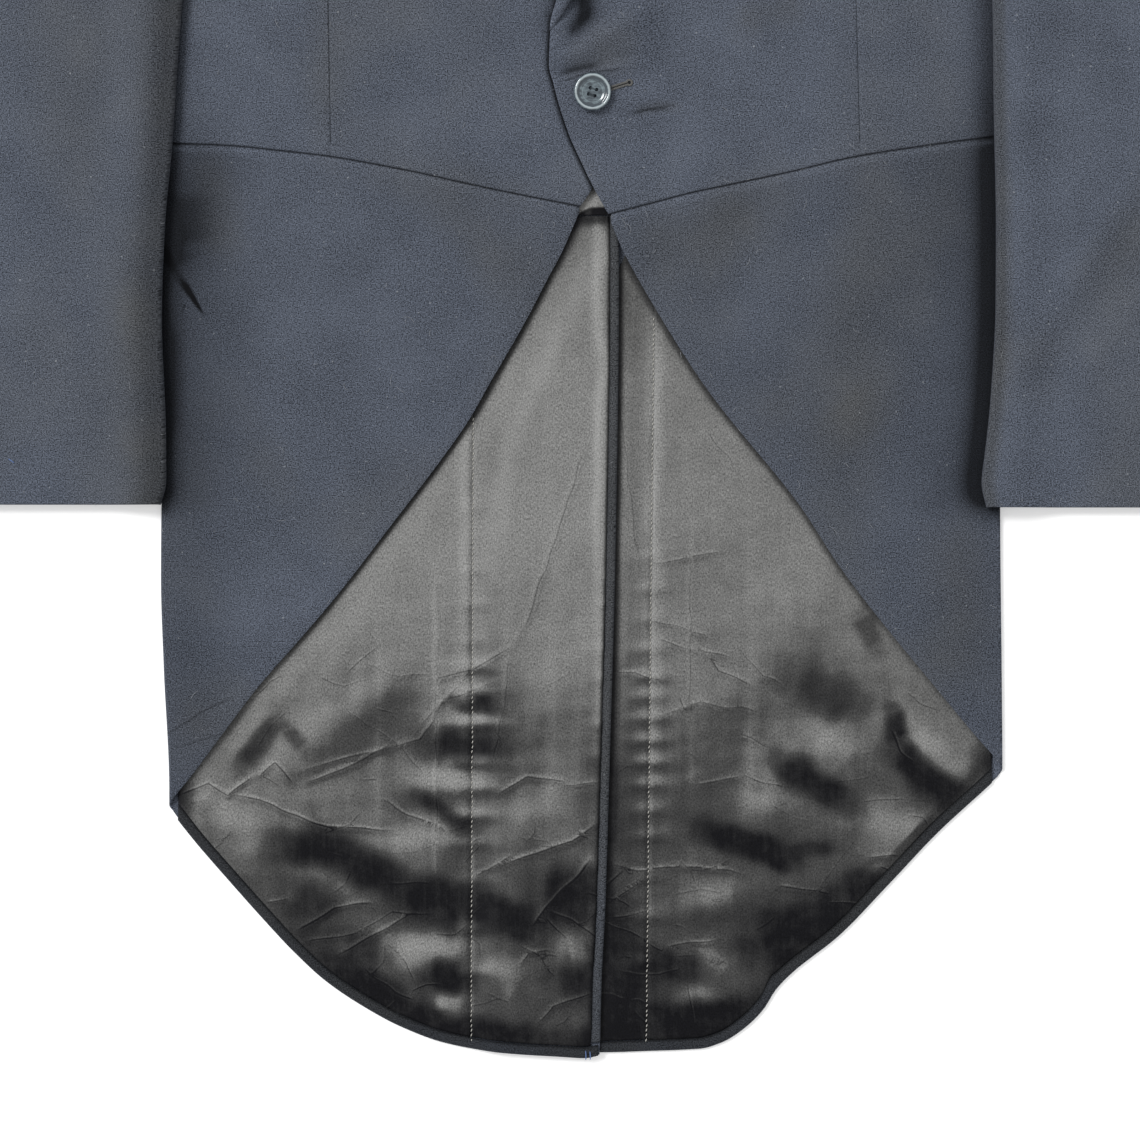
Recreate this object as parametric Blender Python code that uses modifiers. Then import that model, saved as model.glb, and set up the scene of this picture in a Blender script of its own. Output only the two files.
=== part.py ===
"""A single-breasted morning coat laid flat on its back, fronts up, with its one button fastened.

Lengths are in millimetres until a mesh is made. A place on the cloth is given by two numbers: out, the
distance from the centre line towards that side, and up, the height above the tail hem. Right and left
are the wearer's, so the right side has negative x. Each panel is an open surface with its own wall.
"""
import math

import bpy
import numpy as np

MM = 0.001
COAT = "morning_coat"
LENGTH = 1000.0

WOOL = 1.5
SATIN = 1.0
SEAM = 0.3

BACK_Z = WOOL / 2
LINING_Z = WOOL + SEAM + SATIN / 2
FRONT_Z = WOOL + SATIN + 2 * SEAM + WOOL / 2
OVERLAP = WOOL + SEAM
LAPEL_RISE = WOOL + 1.2
FOLD = (FRONT_Z - BACK_Z) / 2
BODY_TOP = FRONT_Z + WOOL / 2

SLEEVE_GAP = 3.4
SLEEVE_FOLD = (WOOL + SLEEVE_GAP) / 2
SLEEVE_EASE = 3.0
SLEEVE_SLOPE = 30.0
SLEEVE_HEAD_GAP = 0.4
BODY_TURN = math.radians(66)
SLEEVE_TURN = math.radians(77)

HEM_TURN = 5.5
VENT_TURN = 4.6
LINING_TUCK = 40.0
WAIST_LINING = 457.0
VENT_TOP = 457.0
VENT_LAP = 430.0
TAIL_LIFT = WOOL + SATIN + 2 * SEAM
TAIL_RAMP = (22.0, 4.0)
TAIL_LINING_EASE = 1.06
LAP_RAMP = 22.0
SIDE_WAIST_OUT = 226.0
BACK_WAIST_UP = 470.0
LAPPED_LINING_INSET = 4.0
TURN_UP_INSET = 0.2
TURN_UP_END = {"right": -7.2, "left": -38.0}
TURN_UP_LINES = 26
VENT_TURN_START = 8.6
SLEEVE_JOIN = 25.0

# Where the grids have their lines: heights, distances out, and shares of a panel's breadth
TAIL_UPS = (25, 60, 110, 170, 230, 285, 330, 365, 400, 425, 441)
BACK_UPS = (475, 520, 570, 620, 680, 740)
FOREPART_SIDE_UPS = (520, 548, 580, 610, 640, 672, 704)
FOREPART_FRONT_RISE = (0, 14, 28, 42, 56, 68, 80, 92, 108, 130, 155, 183, 220, 265, 320, 380, 445)
NECK_LINING_UPS = (457.3, 480, 520, 560, 600, 640, 690, 740, 800, 860, 920, 964)
SKIRT_UNDER = {"right": (80, 100, 120, 140, 158, 175, 190, 204, 215),
               "left": (48, 62, 80, 100, 120, 140, 158, 175, 190, 204, 215)}
SKIRT_OVER = {"right": (215, 200, 184, 166, 148, 130, 112, 94, 76, 60, 45, 32, 22, 3.0),
              "left": (215, 200, 184, 166, 148, 130, 112, 94, 76, 60, 45, 32, 22, 14.2)}
SKIRT_LINES = 9
FOLD_LINES = 7
SKIRT_LINING_OUT = 221.0
FOREPART_SHARES = (0, 0.08, 0.18, 0.3, 0.42, 0.54, 0.65, 0.74, 0.81, 0.87, 0.92, 0.96, 1)
BACK_SHARES = (0, 0.14, 0.28, 0.42, 0.55, 0.67, 0.78, 0.88, 0.95, 1)
LAPEL_SHARES = (0, 0.17, 0.34, 0.518, 0.68, 0.84, 1)
SLEEVE_SHARES = (0.25, 0.5, 0.75, 1.0)

SIGN = {"right": -1.0, "left": 1.0}

# Side of the body, columns up and out
SIDE_EDGE = {
    "right": ((0, 226), (145, 226), (212, 229), (260, 230.5), (320, 230), (400, 228), (496, 228),
              (600, 235), (700, 243), (736, 245)),
    "left": ((0, 227), (160, 227), (212, 226.6), (300, 225.8), (400, 226), (496, 226),
             (600, 234), (700, 243), (736, 245)),
}

# Armhole, columns up and out
ARMHOLE = ((736, 245), (750, 226), (762, 215), (776, 207.5), (800, 199), (830, 196), (880, 203), (935, 225))
ARMHOLE_UPS = (736, 758, 776, 792, 808, 835, 865, 895, 918, 935)

# Waist seam on the fronts, columns out and up
WAIST = {
    "right": ((2, 461.6), (34, 468), (68, 475), (100, 482), (139, 489), (165, 492), (195, 495), (222, 496)),
    "left": ((13, 457.3), (36, 463.4), (56, 468.8), (84, 474.6), (112, 480.6), (145, 488.4), (181, 494.3),
             (221, 499.7)),
}

# Cutaway edge of the skirt, columns out and up
CUTAWAY = {
    "right": ((2.2, 460.7), (6, 451.8), (13, 436), (20, 423), (29, 405.5), (41, 384), (51.5, 366),
              (62, 347.4), (74.3, 329.5), (105, 289), (136.6, 248.2), (156, 225.5), (177.8, 200.5),
              (195.7, 176.7), (221.7, 143.1), (226, 139)),
    "left": ((12.7, 456.6), (19.5, 440), (32.8, 415.7), (56.4, 377.2), (69.9, 357.7), (116.5, 299.7),
             (138.2, 266.4), (156.6, 242), (185.9, 206), (221.1, 164.2), (227, 158)),
}

# Hem of the skirt and tail, columns out and up
HEM = {
    "right": ((-8, 1.6), (0, 0), (14, 0.8), (36, 2.1), (58, 4.3), (76.7, 8), (100.3, 16.8), (123.6, 29.6),
              (141.5, 42), (158.8, 58), (175.6, 76), (191.9, 94.3), (210.3, 115.4), (226, 135)),
    "left": ((-44, 2.4), (8, 2.6), (35, 3.4), (62.3, 4.6), (74.3, 8), (85.6, 15), (96.5, 25.5),
             (103.5, 36.5), (112.7, 46), (137.7, 65.8), (165.9, 94.9), (191.6, 122), (224.4, 152.3),
             (227, 155)),
}

# Pleat between tail and skirt, columns up and out
PLEAT = {"right": ((0, 62), (475, 60.5)), "left": ((0, 33.5), (475, 38.5))}

# Edge of the back at the vent and centre seam, columns up and out
CENTRE = {
    "right": ((0, -7.9), (42, -8.9), (79, -10.8), (161, -13.3), (270, -16.3), (400, -18.2), (457, -18.4),
              (600, -12), (800, -4), (965, 0)),
    "left": ((0, -42), (250, -40), (300, -34), (340, -24), (370, -12), (400, 2), (425, 13), (440, 18.6),
             (457, 18.7), (600, 12.3), (800, 4.3), (965, 0.3)),
}

# Seam between back and side body, columns up and out
BACK_SEAM = {
    "right": ((475, 60.5), (520, 68), (600, 95), (680, 138), (740, 172), (776, 207.5)),
    "left": ((475, 38.5), (520, 50), (600, 85), (680, 132), (740, 170), (776, 207.5)),
}

# Front edge and lapel roll, columns up and out
FRONT_EDGE = {
    "right": ((462, 2.4), (471.5, -3.8), (482, -8), (495, -14), (512, -18.5), (523, -20), (546, -20),
              (560, -18), (573, -14.6), (640, 0), (700, 13), (800, 35), (925, 62), (971, 69)),
    "left": ((457, 13), (473.7, 3.7), (487.3, -2.7), (498, -7.6), (508.4, -11.4), (519, -14.7),
             (528, -17), (537.7, -19.4), (546, -19.2), (560, -18.2), (573.4, -14.6), (640, 0), (700, 13),
             (800, 35), (925, 62), (971, 69)),
}

# Outer edge of the lapel, columns up and out
LAPEL_EDGE = ((556, -15.3), (562, -12.5), (573.4, -6.5), (600, 12), (640, 38), (700, 70), (760, 98),
              (820, 124), (870, 144), (905, 151))
LAPEL_UPS = (556, 565, 587, 612, 640, 677, 722, 777, 837, 885)
GORGE = ((60, 914.5), (105, 884.5), (151, 905))

# Left front held up where it laps over the right, columns up and across
LAP_HOLD = ((400, 0), (420, 12), (440, 24), (457, 25), (500, 25), (523, 26), (573, 24), (640, 8),
            (700, -8), (760, -30), (971, -90))
LAPEL_UNDER = (534.0, 548.0)

# Collar from the gorge to the centre back, columns inner out, inner up, outer out, outer up
COLLAR = ((61, 915.5, 106, 886), (62.5, 922, 118, 898), (64, 932, 122, 925), (62, 945, 112, 957),
          (52, 955, 88, 982), (30, 961, 48, 996), (0, 962, 0, 1000))
COLLAR_RAMP = (35.0, 62.0)

SHOULDER_POINT = (225, 935)
BACK_NECK = ((72, 972), (40, 967.5), (0, 965))

# Lining seen in the neck, columns up and half width
NECK_LINING = ((457.3, 50), (560, 45), (640, 35), (800, 62), (920, 88), (964, 76))

# Sleeve, columns up and out
SLEEVE_INNER = {
    "right": ((300, 229.5), (312, 226.4), (340, 226.6), (400, 228.8), (449, 227.2), (496, 223),
              (546, 219.6), (573, 217.5), (640, 212), (700, 207), (736, 205), (776, 207.5)),
    "left": ((298.5, 217), (311.7, 214.4), (326, 216), (347, 218.4), (367, 220), (407, 222), (449, 222.2),
             (518, 220.9), (573, 220.2), (640, 214), (700, 208), (736, 205), (776, 207.5)),
}
SLEEVE_OUTER = {
    "right": ((300, 371), (400, 376), (500, 384), (600, 394), (700, 403), (736, 405), (776, 402),
              (808, 393), (835, 380), (865, 357), (895, 324), (918, 288), (935, 236)),
    "left": ((298.5, 360), (400, 368), (500, 379), (600, 392), (700, 403), (736, 405), (776, 402),
             (808, 393), (835, 380), (865, 357), (895, 324), (918, 288), (935, 236)),
}
SLEEVE_UPS = (330, 370, 430, 500, 570, 640, 700)

BUTTON_ACROSS = 4.1
BUTTON_UP = 523.0
BUTTON_HOLE_RADIUS = 1.0
BUTTON_HOLE_SPACING = 3.45
BUTTON_TURN = -16.0
# Button from its centre out, columns radius and height
BUTTON_PROFILE = ((0, 0), (7.4, 0), (9.6, 0.9), (10.2, 2.0), (9.9, 3.0), (9.1, 3.6), (8.4, 3.4), (7.4, 2.5),
                  (5.6, 2.2), (0, 2.2))
BUTTON_STEPS = 28

COLOURS = {
    "wool": ((0.076, 0.084, 0.107), 0.9),
    "satin": ((0.150, 0.138, 0.120), 0.35),
    "horn": ((0.020, 0.024, 0.036), 0.15),
}


def smooth(rows, at):
    """Read a two-column table at any places as a curve that never overshoots its rows."""
    x, y = np.array(rows, float).T
    at = np.clip(np.asarray(at, float), x[0], x[-1])
    step = np.diff(x)
    slope = np.diff(y) / step
    tangent = np.concatenate((slope[:1], np.zeros(len(slope) - 1), slope[-1:]))
    product = slope[:-1] * slope[1:]
    mean = 2 * product / np.where(product > 0, slope[:-1] + slope[1:], 1.0)
    tangent[1:-1] = np.where(product > 0, mean, 0.0)
    k = np.clip(np.searchsorted(x, at) - 1, 0, len(step) - 1)
    t = (at - x[k]) / step[k]
    rise = (1 + 2 * t) * (1 - t) ** 2 * y[k] + t * t * (3 - 2 * t) * y[k + 1]
    return rise + step[k] * (t * (1 - t) ** 2 * tangent[k] - t * t * (1 - t) * tangent[k + 1])


def ramp(start, end, at):
    """Zero at start, one at end, straight between them."""
    return np.clip((np.asarray(at, float) - start) / (end - start), 0.0, 1.0)


def along(corners, u):
    """Points at fractions u of the way along a line of straight runs."""
    corners = np.array(corners, float)
    reach = np.concatenate(([0.0], np.cumsum(np.linalg.norm(np.diff(corners, axis=0), axis=1))))
    reach /= reach[-1]
    return np.stack([np.interp(u, reach, corners[:, k]) for k in (0, 1)], axis=-1)


def column(out, up):
    """Pairs of out and up from two arrays or numbers."""
    return np.stack(np.broadcast_arrays(np.asarray(out, float), np.asarray(up, float)), axis=-1)


def patch(low, high, first, last, u, v):
    """Blend four edges into a grid: rows run from low to high, columns from first to last."""
    u = np.asarray(u, float)[None, :, None]
    v = np.asarray(v, float)[:, None, None]
    across = (1 - v) * low[None] + v * high[None]
    upward = (1 - u) * first[:, None] + u * last[:, None]
    corners = ((1 - u) * (1 - v) * low[0] + u * (1 - v) * low[-1]
               + (1 - u) * v * high[0] + u * v * high[-1])
    return across + upward - corners


def armhole(up):
    """Armhole edge as the same straight runs for every panel that meets it."""
    return np.interp(up, ARMHOLE_UPS, smooth(ARMHOLE, ARMHOLE_UPS))


def body_edge(side, up):
    """Outermost reach of the body at a height, armhole included."""
    return np.where(np.asarray(up) < ARMHOLE_UPS[0], smooth(SIDE_EDGE[side], up), armhole(up))


def side_waist(side):
    """Height of the waist seam at the side fold."""
    return float(smooth(WAIST[side], SIDE_WAIST_OUT))


def back_waist(side, out):
    """Waist seam on the back, straight from the pleat to the side fold."""
    pleat = PLEAT[side][-1][1]
    return BACK_WAIST_UP + (side_waist(side) - BACK_WAIST_UP) * (out - pleat) / (SIDE_WAIST_OUT - pleat)


def reach(radius, turn, amount):
    """Distance that a turned edge takes up in plan, from its full turn to none."""
    amount = np.maximum(amount, 0.02)
    return radius * np.sin(amount * turn) / amount


def turn_edge(points, direction, radius, turn, amount, dip):
    """Two more lines of points past an edge, outermost first, which bend towards the layer that it meets."""
    amount = np.maximum(amount, 0.02)
    lines = []
    for angle in (turn, turn / 2):
        forward = radius * np.sin(angle * amount) / amount
        drop = radius * (1 - np.cos(angle * amount)) / amount
        line = points + forward[:, None] * np.array((*direction, 0.0))
        line[:, 2] -= dip * drop
        lines.append(line)
    return np.array(lines)


def left_lift(across, up):
    """Rise of the left front where it laps over the right front and its lapel."""
    held = ramp(LAP_RAMP, 0.0, across - smooth(LAP_HOLD, up))
    return held * (OVERLAP + LAPEL_RISE * ramp(*LAPEL_UNDER, up))


def tail_lift(out, up):
    """Rise of the right tail where it laps over the left one at the vent."""
    across = -np.asarray(out)
    under = smooth(CENTRE["left"], up)
    lapped = ramp(VENT_TOP, VENT_LAP, up)
    return TAIL_LIFT * lapped * ramp(under - TAIL_RAMP[0], under - TAIL_RAMP[1], across)


def front_height(side, out, up):
    """Middle of the front's wall."""
    return FRONT_Z + left_lift(out, up) * (side == "left")


def back_height(side, out, up):
    """Middle of the back's wall."""
    return BACK_Z + tail_lift(out, up) * (side == "right")


def inner_height(side, out, up):
    """Middle of what lies on the back's inner face, with a little ease where the tail rises."""
    return LINING_Z + TAIL_LINING_EASE * tail_lift(out, up) * (side == "right")


def pleat_out(side, up):
    """Pleat between tail and skirt, a straight line."""
    return np.interp(up, *np.array(PLEAT[side]).T)


def with_height(grid, height):
    """Points of out, up and height from a grid of out and up."""
    return np.concatenate((grid, np.broadcast_to(height, grid.shape[:2])[..., None]), axis=2)


def material(name):
    """The cloth or horn material of that name."""
    made = bpy.data.materials.get(name)
    if made is None:
        colour, roughness = COLOURS[name]
        made = bpy.data.materials.new(name)
        made.use_nodes = True
        shader = made.node_tree.nodes["Principled BSDF"]
        shader.inputs["Base Color"].default_value = (*colour, 1.0)
        shader.inputs["Roughness"].default_value = roughness
        shader.inputs["Metallic"].default_value = 0.0
    return made


def place(across, up, height):
    """World place in metres of a point of the coat."""
    return across * MM, (up - LENGTH / 2) * MM, height * MM


def sheet(name, side, points, collection, wall=WOOL, stuff="wool"):
    """Make one panel from a grid of out, up and height, as an open surface with a wall."""
    x, y, z = place(SIGN[side] * points[..., 0], points[..., 1], points[..., 2])
    rows, columns = x.shape
    corner = (np.arange(rows - 1)[:, None] * columns + np.arange(columns - 1)).ravel()
    faces = np.stack((corner, corner + 1, corner + columns + 1, corner + columns), axis=1)
    mesh = bpy.data.meshes.new(name)
    mesh.from_pydata(np.stack((x, y, z), axis=2).reshape(-1, 3).tolist(), [], faces.tolist())
    mesh.materials.append(material(stuff))
    panel = bpy.data.objects.new(name, mesh)
    collection.objects.link(panel)
    solid = panel.modifiers.new("wall", "SOLIDIFY")
    solid.thickness = wall * MM
    solid.offset = 0.0
    solid.use_quality_normals = True
    return panel


def skirt(side, collection):
    """Skirt from the pleat, round the side fold, to the cutaway edge."""
    tangent = SIDE_WAIST_OUT - FOLD
    pleat = PLEAT[side][0][1]
    under = np.array((pleat, *SKIRT_UNDER[side]), float)
    over = np.array(SKIRT_OVER[side], float)
    turns = np.radians(np.linspace(-90, 90, FOLD_LINES))
    share = np.linspace(0, 1, FOLD_LINES)
    hem, cut = smooth(HEM[side], tangent), smooth(CUTAWAY[side], tangent)
    low = np.concatenate((smooth(HEM[side], under), hem + (cut - hem) * share, smooth(CUTAWAY[side], over)))
    high = np.concatenate((back_waist(side, under), np.full(FOLD_LINES, side_waist(side)),
                           smooth(WAIST[side], over)))
    up = low + (high - SEAM / 2 - low) * np.linspace(0, 1, SKIRT_LINES)[:, None]
    start, end = len(under), len(under) + FOLD_LINES
    centre = smooth(SIDE_EDGE[side], up[:, start:end]) - WOOL / 2 - FOLD
    out = np.empty_like(up)
    out[:, :start] = under
    out[:, 0] = pleat_out(side, up[:, 0]) + SEAM / 2
    out[:, start:end] = centre + FOLD * np.cos(turns)
    out[:, end:] = over
    height = np.full_like(up, BACK_Z)
    height[:, start:end] = BACK_Z + FOLD * (1 + np.sin(turns))
    height[:, end:] = front_height(side, out, up)[:, end:]
    return sheet(f"skirt_{side}", side, with_height(column(out, up), height), collection)


def forepart(side, collection):
    """Front from the side seam and armhole to the front edge and lapel roll."""
    waist = side_waist(side) + SEAM / 2
    outer_ups = np.array((waist, *FOREPART_SIDE_UPS, *ARMHOLE_UPS[:-1], SHOULDER_POINT[1] - FOLD))
    inner_ups = FRONT_EDGE[side][0][0] + SEAM / 2 + np.array(FOREPART_FRONT_RISE)
    inner_ups = np.append(inner_ups, FRONT_EDGE[side][-1][0] - FOLD)
    turned = ramp(745, 715, outer_ups)
    outer = body_edge(side, outer_ups)
    outer = outer - np.where(outer_ups < ARMHOLE_UPS[0], WOOL / 2, SEAM / 2) - reach(FOLD, BODY_TURN, turned)
    first = column(outer, outer_ups)
    last = column(smooth(FRONT_EDGE[side], inner_ups), inner_ups)
    u = np.array(FOREPART_SHARES)
    waist_out = first[0, 0] + (last[0, 0] - first[0, 0]) * u
    low = column(waist_out, smooth(WAIST[side], waist_out) + SEAM / 2)
    low[0], low[-1] = first[0], last[0]
    high = along((first[-1], last[-1]), u)
    v = (inner_ups - inner_ups[0]) / (inner_ups[-1] - inner_ups[0])
    grid = patch(low, high, first, last, u, v)
    points = with_height(grid, front_height(side, grid[..., 0], grid[..., 1]))
    rolled = turn_edge(points[:, 0], (1, 0), FOLD, BODY_TURN, turned, 1.0)
    points = np.concatenate((rolled.transpose(1, 0, 2), points), axis=1)
    shoulder = turn_edge(points[-1], (0, 1), FOLD, BODY_TURN, np.ones(points.shape[1]), 1.0)
    points = np.concatenate((points, shoulder[::-1]), axis=0)
    return sheet(f"forepart_{side}", side, points, collection)


def back(side, collection):
    """Back and tail from the shoulder to the hem."""
    ups = np.array((0, *TAIL_UPS, VENT_TOP + 1, *BACK_UPS, *ARMHOLE_UPS[2:-1]))
    hem_out = np.array((PLEAT[side][0][1] - SEAM / 2, CENTRE[side][0][1]))
    hem_up = smooth(HEM[side], hem_out)
    outer_ups = np.append(ups, SHOULDER_POINT[1] - FOLD)
    outer_ups[0] = hem_up[0]
    inner_ups = np.append(ups, BACK_NECK[-1][1])
    inner_ups[0] = hem_up[1]
    pleat = pleat_out(side, outer_ups) - SEAM / 2
    seam = smooth(BACK_SEAM[side], outer_ups) - SEAM / 2
    outer = np.where(outer_ups < BACK_SEAM[side][0][0], pleat, seam)
    outer = np.where(outer_ups < ARMHOLE_UPS[2], outer, armhole(outer_ups) - SEAM / 2)
    first = column(outer, outer_ups)
    last = column(smooth(CENTRE[side], inner_ups), inner_ups)
    u = np.array(BACK_SHARES)
    low_out = hem_out[0] + (hem_out[1] - hem_out[0]) * u
    low = column(low_out, smooth(HEM[side], low_out))
    high = along((SHOULDER_POINT, *BACK_NECK), u)
    shoulder = ramp(60, 80, high[:, 0])
    high[:, 1] -= reach(FOLD, BODY_TURN, 1.0) * shoulder
    high[0], high[-1] = first[-1], last[-1]
    v = (inner_ups - inner_ups[0]) / (inner_ups[-1] - inner_ups[0])
    grid = patch(low, high, first, last, u, v)
    points = with_height(grid, back_height(side, grid[..., 0], grid[..., 1]))
    radius = FOLD * np.maximum(shoulder, 0.2)
    seamed = turn_edge(points[-1], (0, 1), radius, BODY_TURN, np.ones(len(u)), -1.0)
    points = np.concatenate((points, seamed[::-1]), axis=0)
    return sheet(f"back_{side}", side, points, collection)


def side_body(side, collection):
    """Side body from the back seam to the side edge, waist to armhole."""
    ups = np.array((*BACK_UPS, ARMHOLE_UPS[2]), float)
    seam = column(smooth(BACK_SEAM[side], ups) + SEAM / 2, ups)
    seam[0, 1] = BACK_WAIST_UP + SEAM / 2
    edge_ups = np.linspace(side_waist(side) + SEAM / 2, ARMHOLE_UPS[0] - 1.0, len(ups))
    turned = ramp(745, 715, edge_ups)
    edge = column(smooth(SIDE_EDGE[side], edge_ups) - WOOL / 2 - reach(FOLD, BODY_TURN, turned), edge_ups)
    u = np.linspace(0, 1, 7)
    low = along((seam[0], edge[0]), u)
    high_ups = seam[-1, 1] + (edge[-1, 1] - seam[-1, 1]) * u
    high = column(armhole(high_ups) - SEAM / 2, high_ups)
    high[0], high[-1] = seam[-1], edge[-1]
    grid = patch(low, high, seam, edge, u, (ups - ups[0]) / (ups[-1] - ups[0]))
    points = with_height(grid, BACK_Z)
    rolled = turn_edge(points[:, -1], (1, 0), FOLD, BODY_TURN, turned, -1.0)
    points = np.concatenate((points, rolled[::-1].transpose(1, 0, 2)), axis=1)
    return sheet(f"side_body_{side}", side, points, collection)


def lapel(side, collection):
    """Lapel turned back over the front along the roll line."""
    u = np.array(LAPEL_SHARES)
    gorge = along(GORGE, u)
    roll_ups = np.append(LAPEL_UPS, gorge[0, 1])
    ups = ramp(LAPEL_UPS[0], gorge[0, 1], roll_ups)
    edge_ups = LAPEL_UPS[0] + (gorge[-1, 1] - LAPEL_UPS[0]) * ups
    roll = column(smooth(FRONT_EDGE[side], roll_ups), roll_ups)
    edge = column(smooth(LAPEL_EDGE, edge_ups), edge_ups)
    gorge[0] = roll[-1]
    grid = patch(along((roll[0], edge[0]), u), gorge, roll, edge, u, ups)
    height = front_height(side, grid[..., 0], grid[..., 1]) + LAPEL_RISE
    return sheet(f"lapel_{side}", side, with_height(grid, height), collection)


def collar(collection):
    """Collar from one gorge round the back of the neck to the other."""
    half = np.array(COLLAR, float)
    other = half[-2::-1] * (-1, 1, -1, 1)
    rows = np.concatenate((half, other))
    share = np.linspace(0, 1, 5)[:, None]
    inner, outer = rows[None, :, :2], rows[None, :, 2:]
    grid = inner + (outer - inner) * share[..., None]
    height = FRONT_Z + LAPEL_RISE * ramp(*COLLAR_RAMP, np.abs(grid[..., 0]))
    return sheet("collar", "left", with_height(grid, height), collection)


def sleeve(side, collection):
    """Top sleeve and under sleeve of one flattened sleeve."""
    cuff = SLEEVE_INNER[side][0][0]
    ups = np.concatenate(([cuff], SLEEVE_UPS, ARMHOLE_UPS))
    joined = ups >= ARMHOLE_UPS[2]
    inner = np.where(joined, armhole(ups) + SEAM / 2, smooth(SLEEVE_INNER[side], ups))
    outer = smooth(SLEEVE_OUTER[side], ups) - WOOL / 2
    folded = ramp(ARMHOLE_UPS[4], ARMHOLE_UPS[2], ups)
    turned = ramp(ARMHOLE_UPS[3], ARMHOLE_UPS[2], ups)
    inner = inner + WOOL / 2 * turned
    gap = WOOL + SLEEVE_HEAD_GAP + (SLEEVE_GAP - SLEEVE_HEAD_GAP) * ramp(935, 880, ups)
    radius = gap / 2
    start = inner + reach(SLEEVE_FOLD, SLEEVE_TURN, turned)
    clear = np.maximum(body_edge(side, ups) + SLEEVE_EASE, start + 1.5)
    end = outer - reach(radius, SLEEVE_TURN, 1.0)
    slope_end = np.minimum(clear + SLEEVE_SLOPE, clear + 0.45 * (end - clear))
    steps = [start, (start + clear) / 2, clear, (clear + slope_end) / 2, slope_end]
    steps += [slope_end + (end - slope_end) * share for share in SLEEVE_SHARES]
    out = np.stack(steps, axis=1)
    up = np.broadcast_to(ups[:, None], out.shape)
    on_body = 1 - ramp(clear[:, None], slope_end[:, None], out)
    rest = (BODY_TOP + SEAM) * on_body * folded[:, None]
    low = rest + WOOL / 2
    high = low + gap[:, None]
    near = ramp(inner[:, None], inner[:, None] + SLEEVE_JOIN, out)
    join = (1 - folded[:, None]) * (1 - near)
    high = high * (1 - join) + FRONT_Z * join
    for name, height, dip in (("top_sleeve", high, 1.0), ("under_sleeve", low, -1.0)):
        points = np.stack((out, up, height), axis=2)
        inside = turn_edge(points[:, 0], (-1, 0), SLEEVE_FOLD, SLEEVE_TURN, turned, dip)
        outside = turn_edge(points[:, -1], (1, 0), radius, SLEEVE_TURN, np.ones(len(ups)), dip)
        points = np.concatenate((inside.transpose(1, 0, 2), points, outside[::-1].transpose(1, 0, 2)), axis=1)
        sheet(f"{name}_{side}", side, points, collection)


def hem_inset(side, out, inset):
    """Height of a line that keeps its distance from the hem."""
    slope = (smooth(HEM[side], out + 1.0) - smooth(HEM[side], out - 1.0)) / 2.0
    return smooth(HEM[side], out) + inset * np.sqrt(1 + slope ** 2)


def tail_lining(side, collection):
    """Lining of one tail, from the hem turn-up to the waist."""
    inset = VENT_TURN + SEAM if side == "right" else LAPPED_LINING_INSET
    low_first = PLEAT[side][0][1] - SEAM / 2
    low_last = CENTRE[side][0][1] + inset
    u = np.array(BACK_SHARES)
    low_out = low_first + (low_last - low_first) * u
    low = column(low_out, hem_inset(side, low_out, HEM_TURN + 2 * SEAM))
    ups = np.array((*TAIL_UPS, WAIST_LINING - SEAM), float)
    first_ups = np.append(low[0, 1], ups)
    last_ups = np.append(low[-1, 1], ups)
    first = column(pleat_out(side, first_ups) - SEAM / 2, first_ups)
    last = column(smooth(CENTRE[side], last_ups) + inset, last_ups)
    low[0], low[-1] = first[0], last[0]
    high = along((first[-1], last[-1]), u)
    v = (first_ups - first_ups[0]) / (first_ups[-1] - first_ups[0])
    grid = patch(low, high, first, last, u, v)
    height = inner_height(side, grid[..., 0], grid[..., 1])
    return sheet(f"lining_tail_{side}", side, with_height(grid, height), collection, SATIN, "satin")


def skirt_lining(side, collection):
    """Lining of the back part of one skirt, tucked a little way under the cutaway front."""
    out = np.linspace(PLEAT[side][0][1] + SEAM / 2, SKIRT_LINING_OUT, 12)
    low = hem_inset(side, out, HEM_TURN + SEAM)
    high = np.minimum(smooth(CUTAWAY[side], out) + LINING_TUCK, WAIST_LINING)
    up = low + (high - low) * np.linspace(0, 1, 7)[:, None]
    grid = column(out, up)
    grid[:, 0, 0] = pleat_out(side, up[:, 0]) + SEAM / 2
    return sheet(f"lining_skirt_{side}", side, with_height(grid, LINING_Z), collection, SATIN, "satin")


def neck_lining(collection):
    """Lining of the body where the neck and the point of the fronts show it."""
    ups = np.array(NECK_LINING_UPS)[:, None]
    grid = column(smooth(NECK_LINING, ups) * np.linspace(-1, 1, 7), ups)
    return sheet("lining_body", "left", with_height(grid, LINING_Z), collection, SATIN, "satin")


def turn_ups(collection):
    """Hem and vent turned in: strips of the coat's own cloth that border the lining."""
    strips = []
    for side, inner in TURN_UP_END.items():
        out = np.linspace(SKIRT_LINING_OUT, inner, TURN_UP_LINES)
        edges = [column(out, hem_inset(side, out, inset)) for inset in (TURN_UP_INSET, HEM_TURN)]
        strips.append((f"hem_turn_up_{side}", side, np.stack(edges)))
    ups = np.array((VENT_TURN_START, *TAIL_UPS, WAIST_LINING - SEAM), float)
    edges = [column(smooth(CENTRE["right"], ups) + inset, ups) for inset in (TURN_UP_INSET, VENT_TURN)]
    strips.append(("vent_turn_up", "right", np.stack(edges)))
    for name, side, grid in strips:
        height = inner_height(side, grid[..., 0], grid[..., 1])
        sheet(name, side, with_height(grid, height), collection, SATIN)


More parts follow.
